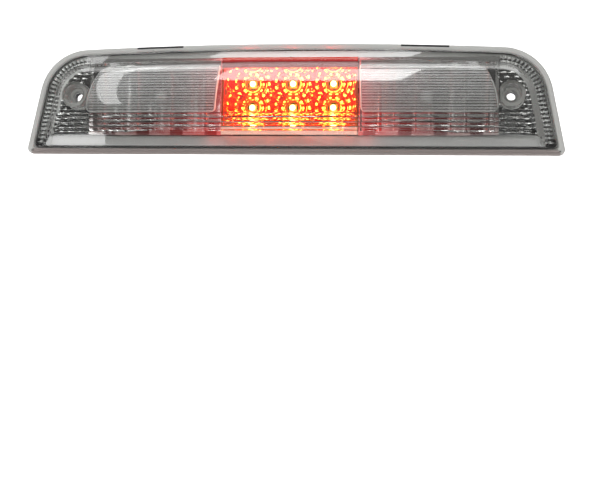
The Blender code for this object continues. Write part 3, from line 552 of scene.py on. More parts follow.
def make_lens():
    """The dome and its rim as one hollow shell, with the two screw bosses and their funnels."""
    sections = [lens_inside(*outline_ring(inset)) for inset in reversed(DOME_INSETS)]
    sections += [level_ring(*outline_ring(inset), y) for inset, y in RIM_INSIDE + RIM_OUTSIDE]
    sections += [lens_outside(*outline_ring(inset)) for inset in DOME_INSETS]
    count = len(sections[0])
    points = np.concatenate(sections).tolist()
    faces = band_faces(len(sections), count)
    rows = rim_rows(DOME_INSETS[-1] * MM)
    last = len(points) - count
    fill_grid(points, faces, list(range(count)), rows, lens_inside, False)
    fill_grid(points, faces, list(range(last, last + count)), rows, lens_outside, True)
    lens = new_object("outer_lens_shell", points, faces, CLEAR)
    cutters = []
    for make, operation in ((make_boss, "UNION"), (make_funnel, "DIFFERENCE")):
        for side in (-1, 1):
            cutters.append(make(side))
            boolean(lens, cutters[-1], operation)
    finish_booleans(lens, cutters, 28.0)
    paint_lens(lens)
    return place_piece(lens, "lamp_body", "clear_lens", "outer_lens")


def paint_lens(lens):
    for material in (RIM_CLEAR, RIM_FOOT_SHADE, BOSS_CLEAR, BLACK):
        lens.data.materials.append(material)
    x, y, z = face_values(lens, "center").T
    distance = outline_distance(x, z)
    inset = np.minimum(distance, (z - BOTTOM) * FOOT_WEIGHT)
    # Painted shade: the bottom of the rim takes a darker, slightly red tint.
    foot = (z < BOTTOM + FOOT_SHADE_HEIGHT) & (distance > RIM_FROSTED)
    screw_x, screw_z = screw_place(1)
    from_screw = np.hypot(np.abs(x) - screw_x, z - screw_z)
    behind_face = y > RIM_FRONT - lens_height(x, z) + 0.3 * MM
    boss = (from_screw < BOSS_RADIUS + 0.1 * MM) & behind_face
    # Painted shade: black dashes along the rim's top edge stand for shaded slots, which are not modelled.
    slot_shade = (np.abs(np.abs(x) - SLOT_SHADE_MIDDLE) < SLOT_SHADE_LENGTH / 2) & (z > 0)
    slot_shade &= (inset < SLOT_SHADE_INSET) & (y < SLOT_SHADE_BACK)
    paint_faces(lens, np.select([slot_shade, boss, foot, inset < RIM_FROSTED], [4, 3, 2, 1], 0))


def make_shade_ring():
    """A black ring behind the rim, seen through its foot: painted shade for the shadow line between the
    lens's underside and the housing's flange.
    """
    rings = []
    for wide, narrow, y in SHADE_RING_SECTION:
        foot, sides = outline_ring(wide).T, outline_ring(narrow).T
        share = np.clip((sides[:, 1] - BOTTOM - SHADE_RING_TURN) / SHADE_RING_BLEND, 0, 1)[:, None]
        rings.append(level_ring(*(foot + (sides - foot) * share).T, y))
    faces = band_faces(len(rings), len(rings[0]), closed=True)
    bead = new_object("lens_painted_shade_ring", np.concatenate(rings), faces, BLACK)
    return place_piece(bead, "lamp_body", "black_plastic")


# ---------------- screw funnels


SEAT_DEPTH = -8.6 * MM
BORE_RADIUS = 3.2 * MM
SEAT_RADIUS = 6.0 * MM
FUNNEL_FLARE = 0.091
FUNNEL_MOUTH = RIM_FRONT - BULGE - 4 * MM
BOSS_RADIUS = 9.4 * MM
TRIM_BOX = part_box("right_end_trim")
TRIM_BACK = TRIM_BOX[1].y


def screw_place(side):
    x, z = centre_of(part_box("right_screw_sleeve"))
    return side * x, z


def make_boss(side):
    """The screw boss under the lens: its front end follows the middle of the lens wall."""
    x, z = screw_place(side)
    angles = 2 * np.pi * np.arange(ROUND) / ROUND
    px, pz = x + BOSS_RADIUS * np.cos(angles), z + BOSS_RADIUS * np.sin(angles)
    front = lens_points(px, pz, np.full_like(px, LENS_THICKNESS / 2))
    front = np.stack([px, front[:, 1], pz], -1)
    back = np.stack([px, np.full_like(px, TRIM_BACK), pz], -1)
    tip = lens_points(np.array([x]), np.array([z]), np.array([LENS_THICKNESS / 2]))
    points = np.concatenate([front, back, tip])
    faces = band_faces(2, ROUND)
    faces += [((step + 1) % ROUND, step, 2 * ROUND) for step in range(ROUND)]
    faces.append(list(range(ROUND, 2 * ROUND)))
    return new_object("boss_filler", points, faces, CLEAR)


def make_funnel(side):
    """What the screw's way in cuts from the lens: a slightly tapered well, then the bore."""
    x, z = screw_place(side)
    wide = SEAT_RADIUS + FUNNEL_FLARE * (SEAT_DEPTH - FUNNEL_MOUTH)
    well = ((wide, FUNNEL_MOUTH), (SEAT_RADIUS, SEAT_DEPTH))
    profile = (*well, (BORE_RADIUS, SEAT_DEPTH), (BORE_RADIUS, TRIM_BACK + 1 * MM))
    return turned("funnel_cutter", profile, CLEAR, (x, 0.0, z))


# ---------------- cargo optics


OPTIC_LOW, OPTIC_HIGH = -11.5 * MM, 26.5 * MM
OPTIC_INNER = (52.5 * MM, 50.5 * MM)
OPTIC_OUTER = (149.0 * MM, 137.0 * MM)
OPTIC_LEAN_POWER = 2.2
OPTIC_DEPTH = LENS_THICKNESS + 0.9 * MM
OPTIC_THICKNESS = 1.8 * MM
EDGE_WIDTH = 0.8 * MM
INNER_ROUND, OUTER_ROUND = 3.0 * MM, 4.5 * MM
RIB_PITCH = 2.0 * MM
RIB_HEIGHT = 0.2 * MM
RIB_ROWS, OPTIC_COLUMNS = 6, 69
GROOVE_HALF = 0.17


def rounded_by(z, radius):
    """How far the plate's rounded corners take its side in, for an array of heights."""
    away = np.clip(np.minimum(z - OPTIC_LOW, OPTIC_HIGH - z), 0, radius)
    return radius - np.sqrt(radius**2 - (radius - away) ** 2)


def optic_edges(z):
    """Inner and outer edge of the plate, as distances from the lamp's middle, for an array of heights."""
    share = np.clip((z - OPTIC_LOW) / (OPTIC_HIGH - OPTIC_LOW), 0, 1)
    inner = OPTIC_INNER[0] + (OPTIC_INNER[1] - OPTIC_INNER[0]) * share
    outer = OPTIC_OUTER[0] + (OPTIC_OUTER[1] - OPTIC_OUTER[0]) * share**OPTIC_LEAN_POWER
    return inner + rounded_by(z, INNER_ROUND), outer - rounded_by(z, OUTER_ROUND)


def make_cargo_optic(side, label):
    """A clear plate that follows the lens, with fine level ribs on its back, painted shade along their
    valleys and a plain bright edge of painted light.
    """
    ribs = round((OPTIC_HIGH - OPTIC_LOW) / RIB_PITCH)
    share = np.linspace(0, 1, ribs * RIB_ROWS + 1)
    z = OPTIC_LOW + (OPTIC_HIGH - OPTIC_LOW) * share
    inner, outer = (edge[:, None] for edge in optic_edges(z))
    x = inner + EDGE_WIDTH + (outer - inner - 2 * EDGE_WIDTH) * np.linspace(0, 1, OPTIC_COLUMNS)
    x = side * np.concatenate([inner, x, outer], 1)
    zz = np.repeat(z[:, None], x.shape[1], 1)
    rib = round_back(within(share * ribs), RIB_PITCH / 2, RIB_HEIGHT)[:, None] * np.ones_like(x)
    rib[:, (0, 1, -2, -1)] = 0
    rib[:3] = rib[-3:] = 0
    front = lens_points(x, zz, np.full_like(x, OPTIC_DEPTH))
    back = lens_points(x, zz, OPTIC_DEPTH + OPTIC_THICKNESS - RIB_HEIGHT + rib)
    finishes = [OPTIC_CLEAR, OPTIC_EDGE_GLOW, OPTIC_GROOVE_SHADE]
    optic = sheet_solid(label + "_cargo_optic_plate", front, 0.0, finishes, 50.0, back)
    x, _, z = face_values(optic, "center").T
    low, high = optic_edges(z)
    from_sides = np.minimum(np.abs(x) - low, high - np.abs(x))
    from_ends = np.minimum(z - OPTIC_LOW, OPTIC_HIGH - z)
    place = (z - OPTIC_LOW) / (OPTIC_HIGH - OPTIC_LOW) * ribs
    # Painted shade: faces along each rib's valley take a darker tint, standing for the shade between the
    # ribs.
    groove = np.abs(place - np.round(place)) < GROOVE_HALF
    paint_faces(optic, np.select([np.minimum(from_sides, from_ends) < EDGE_WIDTH, groove], [1, 2], 0))
    add_glow(optic, cargo_glow)
    return place_piece(optic, "lamp_body", "clear_optic", label + "_cargo_optic")


def cargo_glow(points):
    """From 0 to 1: how much red light from the LED unit reaches these points of the cargo lamps."""
    away = np.maximum(np.abs(points[:, 0]) - CENTRE_BOX[1].x, 0)
    reach = np.where(points[:, 2] < OPTIC_LOW, 42 * MM, 11 * MM)
    return np.exp(-away / reach)


# ---------------- cargo reflectors


CARGO_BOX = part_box("right_cargo_reflector")
FLANGE_X, FLANGE_LOW, FLANGE_HIGH = 149.4 * MM, -25.6 * MM, 30.0 * MM
CARGO_WALL = 1.2 * MM
REFLECTOR_BACK = 1.4 * MM
FLUTE_BASE, TROUGH_DEPTH = 8.4 * MM, 5.0 * MM
FLUTE_PITCH = 25.4 * MM
FLUTE_DEPTH = 2.6 * MM
FLUTE_START = 70.6 * MM
BEAD_HEIGHT = 1.2 * MM
BEAD_PLACE, BEAD_SPREAD = 0.62, 0.006
DARK_REFLECTION_SHARE = 0.36
BULB_HOLE = 5.4 * MM


def cargo_depth(x, z, low, high):
    """A trough with upright flutes: each is a hollow arc with a narrow round bead beside it."""
    across = within((x - FLUTE_START) / FLUTE_PITCH)
    flute = FLUTE_DEPTH * (1 - across**2)
    bead = BEAD_HEIGHT * np.exp(-((np.abs(across) - BEAD_PLACE) ** 2) / BEAD_SPREAD)
    level = (np.maximum(z, OPTIC_LOW) - (low + high) / 2) / ((high - low) / 2)
    return flute - bead + TROUGH_DEPTH * (1 - level**2)


def flat_border(y, depth, top_rows=2):
    """Brings the outer points of a grid of depths forwards to depth, as a flange."""
    y[:2] = y[-top_rows:] = y[:, :2] = y[:, -2:] = depth


def make_cargo_reflector(side, label):
    low, high = CARGO_BOX
    x = np.linspace(low.x, high.x, 230)[3:-3]
    z = np.linspace(low.z, high.z, 56)[2:-2]
    xs = np.concatenate([[low.x, low.x + CARGO_WALL], x, [high.x - CARGO_WALL, FLANGE_X]])
    zs = np.concatenate([[FLANGE_LOW, low.z + CARGO_WALL], z, [high.z - CARGO_WALL, FLANGE_HIGH]])
    xx, zz = np.meshgrid(xs, zs)
    floor = high.y - REFLECTOR_BACK
    y = floor - FLUTE_BASE + cargo_depth(xx, zz, low.z, high.z)
    flat_border(y, low.y)
    front = np.stack([side * xx, np.clip(y, low.y, floor), zz], -1)
    finishes = [CARGO_GLOW_CHROME, WALL_SHADE_CHROME, CARGO_DARK_REFLECTION]
    reflector = sheet_solid(label + "_cargo_reflector_bowl", front, 1.3 * MM, finishes, 40.0)
    bulb_x, bulb_z = centre_of(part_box("right_bulb"))
    drill = ((BULB_HOLE, -30 * MM), (BULB_HOLE, 30 * MM))
    hole = turned("bulb_hole", drill, CHROME, (side * bulb_x, 0.0, bulb_z))
    boolean(reflector, hole)
    finish_booleans(reflector, [hole], 40.0)
    # Painted shade: the steep walls of the trough take a darker, rougher chrome.
    steep = np.abs(face_values(reflector, "normal")[:, 1]) < 0.5
    x, _, z = face_values(reflector, "center").T
    place = (np.abs(x) - FLUTE_START) / FLUTE_PITCH
    # Painted reflection: the middles of the flutes' hollows below the optic take dark chrome, for the dark
    # surroundings they mirror.
    hollow = (z < OPTIC_LOW) & (np.abs(place - np.floor(place) - 0.5) < DARK_REFLECTION_SHARE / 2)
    paint_faces(reflector, np.select([steep, hollow], [1, 2], 0))
    add_glow(reflector, cargo_glow)
    return place_piece(reflector, "lamp_body", "chrome", label + "_cargo_reflector")


# ---------------- end trims


TRIM_HIGH = 31.0 * MM
TRIM_FACE = TRIM_BACK - 0.7 * MM
TRIM_OUTER_INSET = 16.0 * MM
TRIM_FLUTE = 3.25 * MM
FLUTE_RISE, BLOCK_RISE = 1.2 * MM, 0.8 * MM
BLOCK_LENGTH, BLOCK_SHIFT = 7.0 * MM, 2.0 * MM
GAP_WIDTH, GAP_LOW, GAP_RUN = 4.6 * MM, -2.0 * MM, 9.0 * MM
SHADE_DASH_REACH, SHADE_DASH_LOW = 9.0 * MM, 14.0 * MM
TOOTH, TOOTH_RISE = 3.4 * MM, 1.5 * MM
TEETH_BACK = TRIM_BACK - 0.9 * MM
TEETH_INSETS = np.concatenate([np.linspace(6.2, 13.0, 27), np.linspace(13.3, 16.2, 5)]) * MM


def trim_inner_x(z):
    return optic_edges(np.clip(z, OPTIC_LOW + OUTER_ROUND, OPTIC_HIGH - OUTER_ROUND))[1] + 0.6 * MM


def make_end_trim(side, label):
    """Chrome plate with level flutes, broken into blocks. Painted shade: a black strip in the gap beside the
    cargo lamp, black dashes near it and darker downward faces.
    """
    z = np.linspace(FLANGE_LOW, TRIM_HIGH, 260)
    gaps = GAP_WIDTH * np.clip((z - GAP_LOW) / GAP_RUN, 0, 1)
    rows = []
    for height, gap in zip(z, gaps):
        outer = outline_x(height, TRIM_OUTER_INSET)
        inner = min(float(trim_inner_x(height)), outer - 3 * MM)
        start = min(inner + gap + 0.2 * MM, outer - 0.5 * MM)
        rows.append(np.concatenate([[inner, start - 0.1 * MM], np.linspace(start, outer, 40)]))
    xx = np.array(rows)
    zz = np.repeat(z[:, None], xx.shape[1], 1)
    place = (zz - FLANGE_LOW) / TRIM_FLUTE
    block = within((xx + BLOCK_SHIFT * np.floor(place)) / BLOCK_LENGTH)
    y = TRIM_FACE - FLUTE_RISE * (1 - np.abs(within(place))) - BLOCK_RISE * (1 - block**2)
    y[:, :2] = TRIM_FACE + 0.2 * MM
    y[:, -1] = TRIM_FACE
    front = np.stack([side * xx, y, zz], -1)
    finishes = [TRIM_CHROME, BLACK, SHADED_CHROME]
    plate = sheet_solid(label + "_end_trim_flutes", front, 0.7 * MM, finishes, 60.0)
    screw_x, screw_z = screw_place(side)
    clear = BOSS_RADIUS + 0.4 * MM
    hole = turned("trim_hole", ((clear, -20 * MM), (clear, 5 * MM)), CHROME, (screw_x, 0.0, screw_z))
    boolean(plate, hole)
    finish_booleans(plate, [hole], 60.0)
    centres = face_values(plate, "center")
    # Painted shade: black in the gap and on dashes along the flute valleys beside it. Downward faces take
    # shaded chrome.
    gap = np.interp(centres[:, 2], z, gaps)
    from_edge = np.abs(centres[:, 0]) - np.interp(centres[:, 2], z, xx[:, 0])
    place = (centres[:, 2] - FLANGE_LOW) / TRIM_FLUTE
    shade_dashes = (np.abs(place - np.round(place)) < 0.2) & (from_edge < gap + SHADE_DASH_REACH)
    shade_dashes &= centres[:, 2] > SHADE_DASH_LOW
    downward = face_values(plate, "normal")[:, 2] < -0.3
    paint_faces(plate, np.select([(from_edge < gap) | shade_dashes, downward], [1, 2], 0))
    return place_piece(plate, "lamp_body", "chrome", label + "_end_trim")


def make_trim_teeth(side, label):
    """A chrome strip that follows the lens's outline, with two rows of pointed teeth."""
    top_turn = math.acos((FLANGE_X + 0.4 * MM - CORNER[0]) / (CORNER_RADIUS - TEETH_INSETS[0]))
    start_z = TRIM_BOX[0].z
    lines = []
    for inset in TEETH_INSETS:
        corner = arc(CORNER, CORNER_RADIUS - inset, LEAN, top_turn, 200)
        start = ((SIDE_REACH - inset - SIDE_NORMAL[1] * start_z) / SIDE_NORMAL[0], start_z)
        lines.append([lerp(start, corner[0], share) for share in np.linspace(0, 1, 200)[:-1]] + corner)
    grid = np.array(lines)
    run = np.concatenate([[0], np.cumsum(np.linalg.norm(np.diff(grid[0], axis=0), axis=1))])
    depth = (TEETH_INSETS - TEETH_INSETS[0])[:, None]
    teeth = TOOTH_RISE * (1 - within(depth / TOOTH) ** 4) * (1 - np.abs(within(run / TRIM_FLUTE)))
    y = TEETH_BACK - np.where(depth < 2 * TOOTH, teeth, 0.0)
    front = np.stack([side * grid[..., 0], y, grid[..., 1]], -1)
    strip = sheet_solid(label + "_end_trim_teeth", front, 0.6 * MM, [TOOTH_CHROME, TOOTH_SHADE], 60.0)
    paint_faces(strip, face_values(strip, "normal")[:, 2] < -0.2)
    return place_piece(strip, "lamp_body", "chrome")


# ---------------- LED unit


CENTRE_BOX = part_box("led_reflector")
LED_PITCH = 30.0 * MM
LED_Z = (centre_of(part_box("led_1"))[1], centre_of(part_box("led_4"))[1])
LED_HOLE = 4.0 * MM
CENTRE_WALL, LED_STEP = 1.5 * MM, 0.4 * MM
SHELF = (22.2 * MM, 26.4 * MM)
DOME = 2.1 * MM

# The cups: a bowl with a raised rim round each LED, then facets with round faces set along a deeper bowl.
CUP_RADIUS = 6.2 * MM
FLOOR_CURVE = 1 / (4 * 16.0 * MM)
CUP_RIM, CUP_RIM_HALF = 0.35 * MM, 0.4 * MM
FACET = 4.8 * MM
FACET_LENGTH = 1.15 * FACET
PILLOW = 7.0 * MM
CUP_CURVE = 1 / (4 * 4.2 * MM)

# The painted glow: its reach round each LED, its share far from them, and the painted bright streaks under
# the lower row.
GLOW_REACH, GLOW_LEAST, GLOW_OUTSIDE = 6.0 * MM, 0.3, 0.14
STREAK_HALF, SPREAD_HALF = 1.7 * MM, 7.0 * MM
STREAK_START, STREAK_FADE = 2.5 * MM, 1.5 * MM


def from_column(x):
    """How far to the side of its nearest column of LEDs each point lies."""
    return x - np.clip(np.round(x / LED_PITCH), -1, 1) * LED_PITCH


def led_surface(x, z):
    """Depth of the cups: a smooth bowl round each LED, then rings of small round-faced facets."""
    centre = np.where(z > (LED_Z[0] + LED_Z[1]) / 2, LED_Z[1], LED_Z[0])
    dx, dz = from_column(x), z - centre
    radius, turn = np.hypot(dx, dz), np.arctan2(dz, dx)
    ring = np.maximum(CUP_RADIUS + (np.floor((radius - CUP_RADIUS) / FACET) + 0.5) * FACET, CUP_RADIUS)
    wedge = 2 * np.pi / np.round(2 * np.pi * ring / FACET_LENGTH)
    facet_turn = np.round(turn / wedge) * wedge
    fx, fz = ring * np.cos(facet_turn), ring * np.sin(facet_turn)
    off_x, off_z = dx - fx, dz - fz
    back = CENTRE_BOX[1].y - REFLECTOR_BACK
    slope = fx**2 + fz**2 + 2 * (fx * off_x + fz * off_z)
    facets = back - CUP_CURVE * slope + (off_x**2 + off_z**2) / (2 * PILLOW)
    bowl = back - FLOOR_CURVE * radius**2
    rim = CUP_RIM * np.exp(-(((radius - CUP_RADIUS) / CUP_RIM_HALF) ** 2))
    y = np.where(radius < CUP_RADIUS, bowl, facets) - rim
    return np.clip(y, CENTRE_BOX[0].y + 2 * MM, back)


def make_led_domes():
    """The clear resin dome of each LED, which is what glows."""
    for number in range(1, 7):
        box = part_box(f"led_{number}")
        x, z = centre_of(box)
        base = box[0].y + 0.2 * MM
        turns = np.linspace(0, math.pi / 2, 8)
        profile = [(DOME * math.sin(turn), base - DOME * math.cos(turn)) for turn in turns]
        dome = turned(f"led_{number}_dome", profile, RED_LED, (x, 0.0, z), steps=24)
        place_piece(dome, "lamp_body", "red_led")


def make_led_reflector():
    """The chrome unit behind the LEDs: faceted cups with painted glow, a plain shelf above them in painted
    shade and a lip below with a painted highlight.
    """
    low, high = CENTRE_BOX
    left, right, foot = low.x + CENTRE_WALL, high.x - CENTRE_WALL, low.z + CENTRE_WALL
    x = np.arange(left, right + LED_STEP / 2, LED_STEP)
    z = np.arange(foot, SHELF[0] - 0.5 * MM, LED_STEP)
    xs = np.concatenate([[low.x, left], x, [right, high.x]])
    zs = np.concatenate([[FLANGE_LOW, foot], z, [SHELF[0] - 0.3 * MM, *SHELF, FLANGE_HIGH]])
    xx, zz = np.meshgrid(xs, zs)
    y = led_surface(xx, zz)
    flat_border(y, low.y, top_rows=4)
    front = np.stack([xx, y, zz], -1)
    finishes = [LED_GLOW_CHROME, SHELF_SHADE_CHROME, LIP_HIGHLIGHT_CHROME]
    reflector = sheet_solid("led_reflector_cups", front, 1.2 * MM, finishes, 25.0)
    holes = []
    for number in range(1, 7):
        led_x, led_z = centre_of(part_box(f"led_{number}"))
        drill = ((LED_HOLE, 5 * MM), (LED_HOLE, 20 * MM))
        holes.append(turned("led_hole", drill, CHROME, (led_x, 0.0, led_z), steps=24))
        boolean(reflector, holes[-1])
    finish_booleans(reflector, holes, 25.0)
    heights = face_values(reflector, "center")[:, 2]
    shelf = (heights > SHELF[0]) & (heights < SHELF[1])
    # The shelf takes painted shade and the lip below the cups a painted highlight.
    paint_faces(reflector, np.select([shelf, heights < foot], [1, 2], 0))
    add_glow(reflector, led_glow)
    return place_piece(reflector, "lamp_body", "chrome", "led_reflector")


def led_glow(points):
    """From 0 to 1: how much of the LEDs' scattered light reaches these points."""
    x, y, z = points.T
    near = np.zeros(len(points))
    for column in (-1, 0, 1):
        for height in LED_Z:
            away = np.hypot(x - column * LED_PITCH, z - height)
            near += np.exp(-((away / GLOW_REACH) ** 2))
    inside = np.abs(x) < CENTRE_BOX[1].x - 1 * MM
    inside &= (y > CENTRE_BOX[0].y + 0.5 * MM) | (z > SHELF[0] - 0.1 * MM)
    under = np.clip((LED_Z[0] - STREAK_START - z) / STREAK_FADE, 0, 1)
    side = from_column(x)
    streak = under * np.exp(-((side / STREAK_HALF) ** 4))
    beside = 0.8 * under * np.exp(-((side / SPREAD_HALF) ** 4))
    spread = np.clip(np.maximum(near, beside), 0, 1)
    scattered = 0.85 * (GLOW_LEAST + (1 - GLOW_LEAST) * spread)
    return np.where(inside, np.maximum(scattered, streak), GLOW_OUTSIDE)


def add_glow(obj, measure):
    """Stores measure of each point on the mesh, for lit_chrome to read."""
    points = np.zeros(len(obj.data.vertices) * 3)
    obj.data.vertices.foreach_get("co", points)
    attribute = obj.data.attributes.new("glow", "FLOAT", "POINT")
    attribute.data.foreach_set("value", measure(points.reshape(-1, 3)).astype(np.float32))


def lit_chrome(name, tone, rough, strength, *stops):
    """Chrome with painted light. stops give the colour at each level of the glow stored on the mesh, above 0.
    """
    material = chrome(name, tone, rough)
    tree = material.node_tree
    shader = tree.nodes["Principled BSDF"]
    glow = tree.nodes.new("ShaderNodeAttribute")
    glow.attribute_name = "glow"
    add_ramp(tree, glow.outputs["Fac"], ((0.0, (0, 0, 0)), *stops), shader.inputs["Emission Color"])
    shader.inputs["Emission Strength"].default_value = strength
    return material


def painted_edge_glow():
    """The plates' plain edges, with painted light: pale, and glowing red beside the LEDs, for light they
    gather from inside the plastic.
    """
    material = lit_chrome("optic_edge_painted_glow", (0.75, 0.75, 0.73), (0.3, 0.4), 0.8,
                          (0.5, (0.1, 0.01, 0.01)), (1.0, (0.9, 0.3, 0.22)))
    set_inputs(material.node_tree.nodes["Principled BSDF"], {"Metallic": 0.0, "Transmission Weight": 0.5})
    return material


# Painted light: orange-tinted chrome that glows round the LEDs, with painted yellow highlights in the facets.
LED_GLOW_CHROME = lit_chrome("led_chrome_painted_glow", (0.8, 0.36, 0.1), (0.03, 0.08), 0.95,
                        (0.08, (0.12, 0.006, 0.006)), (0.26, (0.5, 0.006, 0.01)), (0.6, (0.85, 0.07, 0.01)),
                        (0.85, (1.0, 0.6, 0.02)), (1.0, (1.0, 0.95, 0.45)))
# Painted shade: the shelf is near black, with a faint painted red glow.
SHELF_SHADE_CHROME = lit_chrome("led_shelf_painted_shade", (0.03, 0.01, 0.01), (0.3, 0.4), 0.6,
                          (0.3, (0.4, 0.02, 0.02)), (1.0, (0.4, 0.02, 0.02)))
# Painted highlight: the lip below the cups glows pinkish white.
LIP_HIGHLIGHT_CHROME = lit_chrome("led_lip_painted_highlight", (0.8, 0.6, 0.55), (0.2, 0.3), 0.7,
                        (0.14, (1.0, 0.5, 0.38)), (1.0, (1.0, 0.5, 0.38)))
# Painted light: the cargo chrome glows red near the LED unit, for the LEDs' light that falls on it.
CARGO_GLOW_CHROME = lit_chrome("cargo_chrome_painted_glow", (0.72, 0.72, 0.715), (0.05, 0.12), 0.9,
                          (0.3, (0.17, 0.002, 0.002)), (1.0, (0.7, 0.015, 0.012)))
# Painted reflection of dark surroundings, with a painted red glow near the LED unit.
CARGO_DARK_REFLECTION = lit_chrome("cargo_painted_dark_reflection", (0.16, 0.15, 0.15), (0.1, 0.15), 0.8,
                         (0.3, (0.1, 0.001, 0.001)), (1.0, (0.5, 0.01, 0.01)))
OPTIC_EDGE_GLOW = painted_edge_glow()


# ---------------- housing and plain nodes


RIB_PLACES = (24.0 * MM, 70.0 * MM, 124.0 * MM, 140.0 * MM)
RIB_BASE, RIB_TOP, RIB_STAND = 1.7 * MM, 1.1 * MM, 1.8 * MM
RIB_ROUND = 0.3 * MM
RIB_SINK = 0.05 * MM
RIB_MARGIN = 5.0 * MM
FRAME_BAR, FRAME_GAP = 2.0 * MM, 1.0 * MM


def tapered_bar(low, high, foot):
    """Points of a bar on the housing's back from low to high, as (x, z): three rings that narrow."""
    draft = (RIB_BASE - RIB_TOP) / 2
    points = []
    for inset, stand in ((0.0, 0.0), (0.7 * draft, RIB_STAND - RIB_ROUND), (draft + RIB_ROUND, RIB_STAND)):
        left, right, down, up = low[0] + inset, high[0] - inset, low[1] + inset, high[1] - inset
        points += [(x, foot + stand, z) for x, z in ((left, down), (right, down), (right, up), (left, up))]
    return points


def make_back_ribs():
    """Stiffening ribs on the tub's back and a raised frame round the LED plug's opening."""
    housing = NODES["rear_housing"]
    places = np.array([housing.matrix_world @ vertex.co for vertex in housing.data.vertices])
    foot = places[:, 1].max() - RIB_SINK
    back = places[places[:, 1] > foot]
    low, high = back[:, 2].min() + RIB_MARGIN, back[:, 2].max() - RIB_MARGIN
    half = RIB_BASE / 2
    bars = [((side * at - half, low), (side * at + half, high)) for at in RIB_PLACES for side in (-1, 1)]
    plug_low, plug_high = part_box("led_connector_header")
    left, right = plug_low.x - FRAME_GAP, plug_high.x + FRAME_GAP
    down, up = plug_low.z - FRAME_GAP, plug_high.z + FRAME_GAP
    bars += [((left - FRAME_BAR, down - FRAME_BAR), (right + FRAME_BAR, down)),
             ((left - FRAME_BAR, up), (right + FRAME_BAR, up + FRAME_BAR)),
             ((left - FRAME_BAR, down), (left, up)), ((right, down), (right + FRAME_BAR, up))]
    points, faces = [], []
    for first, last in bars:
        sides = [(0, 1, 2, 3), *band_faces(3, 4), (11, 10, 9, 8)]
        faces += [tuple(index + len(points) for index in side) for side in sides]
        points += tapered_bar(first, last, foot)
    ribs = new_object("housing_back_ribs", points, faces, HOUSING_GREY, 30.0)
    return place_piece(ribs, "lamp_body", "housing_plastic")


def paint_nodes():
    """Finishes of the CAD nodes that show as they are. The housing's faces towards the lens are painted
    lighter, as painted light.
    """
    finishes = {
        "rear_housing": HOUSING_GREY, "mounting_gasket": FOAM, "left_screw_sleeve": SLEEVE,
        "right_screw_sleeve": SLEEVE, "led_board": BOARD, "left_resistor": CERAMIC, "right_resistor": CERAMIC,
        "protection_diode": BLACK, "left_board_screw": STEEL, "right_board_screw": STEEL,
        "led_connector_header": BLACK, "header_pin_1": BRASS, "header_pin_2": BRASS, "breather_cap": RUBBER,
    }
    for label in ("left", "right"):
        finishes[label + "_bulb_socket"] = BLACK
        finishes[label + "_socket_seal"] = RUBBER
        finishes[label + "_bulb"] = BULB_GLASS
        finishes[label + "_socket_blade_1"] = BRASS
        finishes[label + "_socket_blade_2"] = BRASS
    for number in range(1, 7):
        finishes[f"led_{number}"] = PACKAGE
    for name, material in finishes.items():
        mesh = NODES[name].data
        mesh.materials.clear()
        mesh.materials.append(material)
    # Painted light: faces towards the lens get a light grey copy of the housing's plastic.
    housing = NODES["rear_housing"]
    housing.data.materials.append(HOUSING_LIT_GREY)
    paint_faces(housing, face_values(housing, "normal")[:, 1] < -0.5)


# ---------------- studio


# The camera's place, the way it looks and its upward direction.
CAMERA_PLACE = Vector((0.1195, -0.8720, -0.1553))
CAMERA_FORWARD = Vector((-0.12839, 0.99034, 0.05229))
CAMERA_UP = Vector((-0.01404, -0.05454, 0.99841))
LENS_MM = 73.57

# The stage, in metres: a floor from the front edge back to a curve, then a wall.
FLOOR_Z, FLOOR_FRONT = -0.34, -2.2
SWEEP_RADIUS, WALL_Y, WALL_HIGH = 0.5, 1.6, 2.2
STAGE_HALF_WIDTH = 3.2

GLOW_COLOUR = (1.0, 0.05, 0.03)

# Level of the room light at each share of the way from straight down to straight up.
ROOM_LIGHT = ((0.0, 0.14), (0.38, 0.08), (0.52, 0.085), (0.66, 0.24), (0.85, 0.5), (1.0, 0.5))
WARMTH = (1.0, 0.985, 0.95)


def make_camera():
    data = bpy.data.cameras.new("camera")
    data.lens = LENS_MM
    data.sensor_width = 36.0
    data.clip_start = 0.01
    camera = bpy.data.objects.new("camera", data)
    bpy.context.scene.collection.objects.link(camera)
    back = -CAMERA_FORWARD.normalized()
    right = CAMERA_UP.cross(back).normalized()
    up = back.cross(right)
    turn = Matrix((right, up, back)).transposed().to_4x4()
    camera.matrix_world = Matrix.Translation(CAMERA_PLACE) @ turn
    bpy.context.scene.camera = camera


def add_light(name, target, azimuth, elevation, distance, size, radiance, roll=0.0):
    """An area light seen from target at this azimuth, from -Y towards +X, and elevation in degrees."""
    a, e = math.radians(azimuth), math.radians(elevation)
    away = Vector((math.sin(a) * math.cos(e), -math.cos(a) * math.cos(e), math.sin(e)))
    data = bpy.data.lights.new(name, "AREA")
    data.shape = "RECTANGLE"
    data.size, data.size_y = size
    data.energy = radiance * math.pi * size[0] * size[1]
    light = bpy.data.objects.new(name, data)
    bpy.context.scene.collection.objects.link(light)
    facing = away.to_track_quat("Z", "Y").to_matrix().to_4x4()
    spin = Matrix.Rotation(math.radians(roll), 4, "Z")
    light.matrix_world = Matrix.Translation(Vector(target) + away * distance) @ facing @ spin
    light.visible_camera = False
    return light


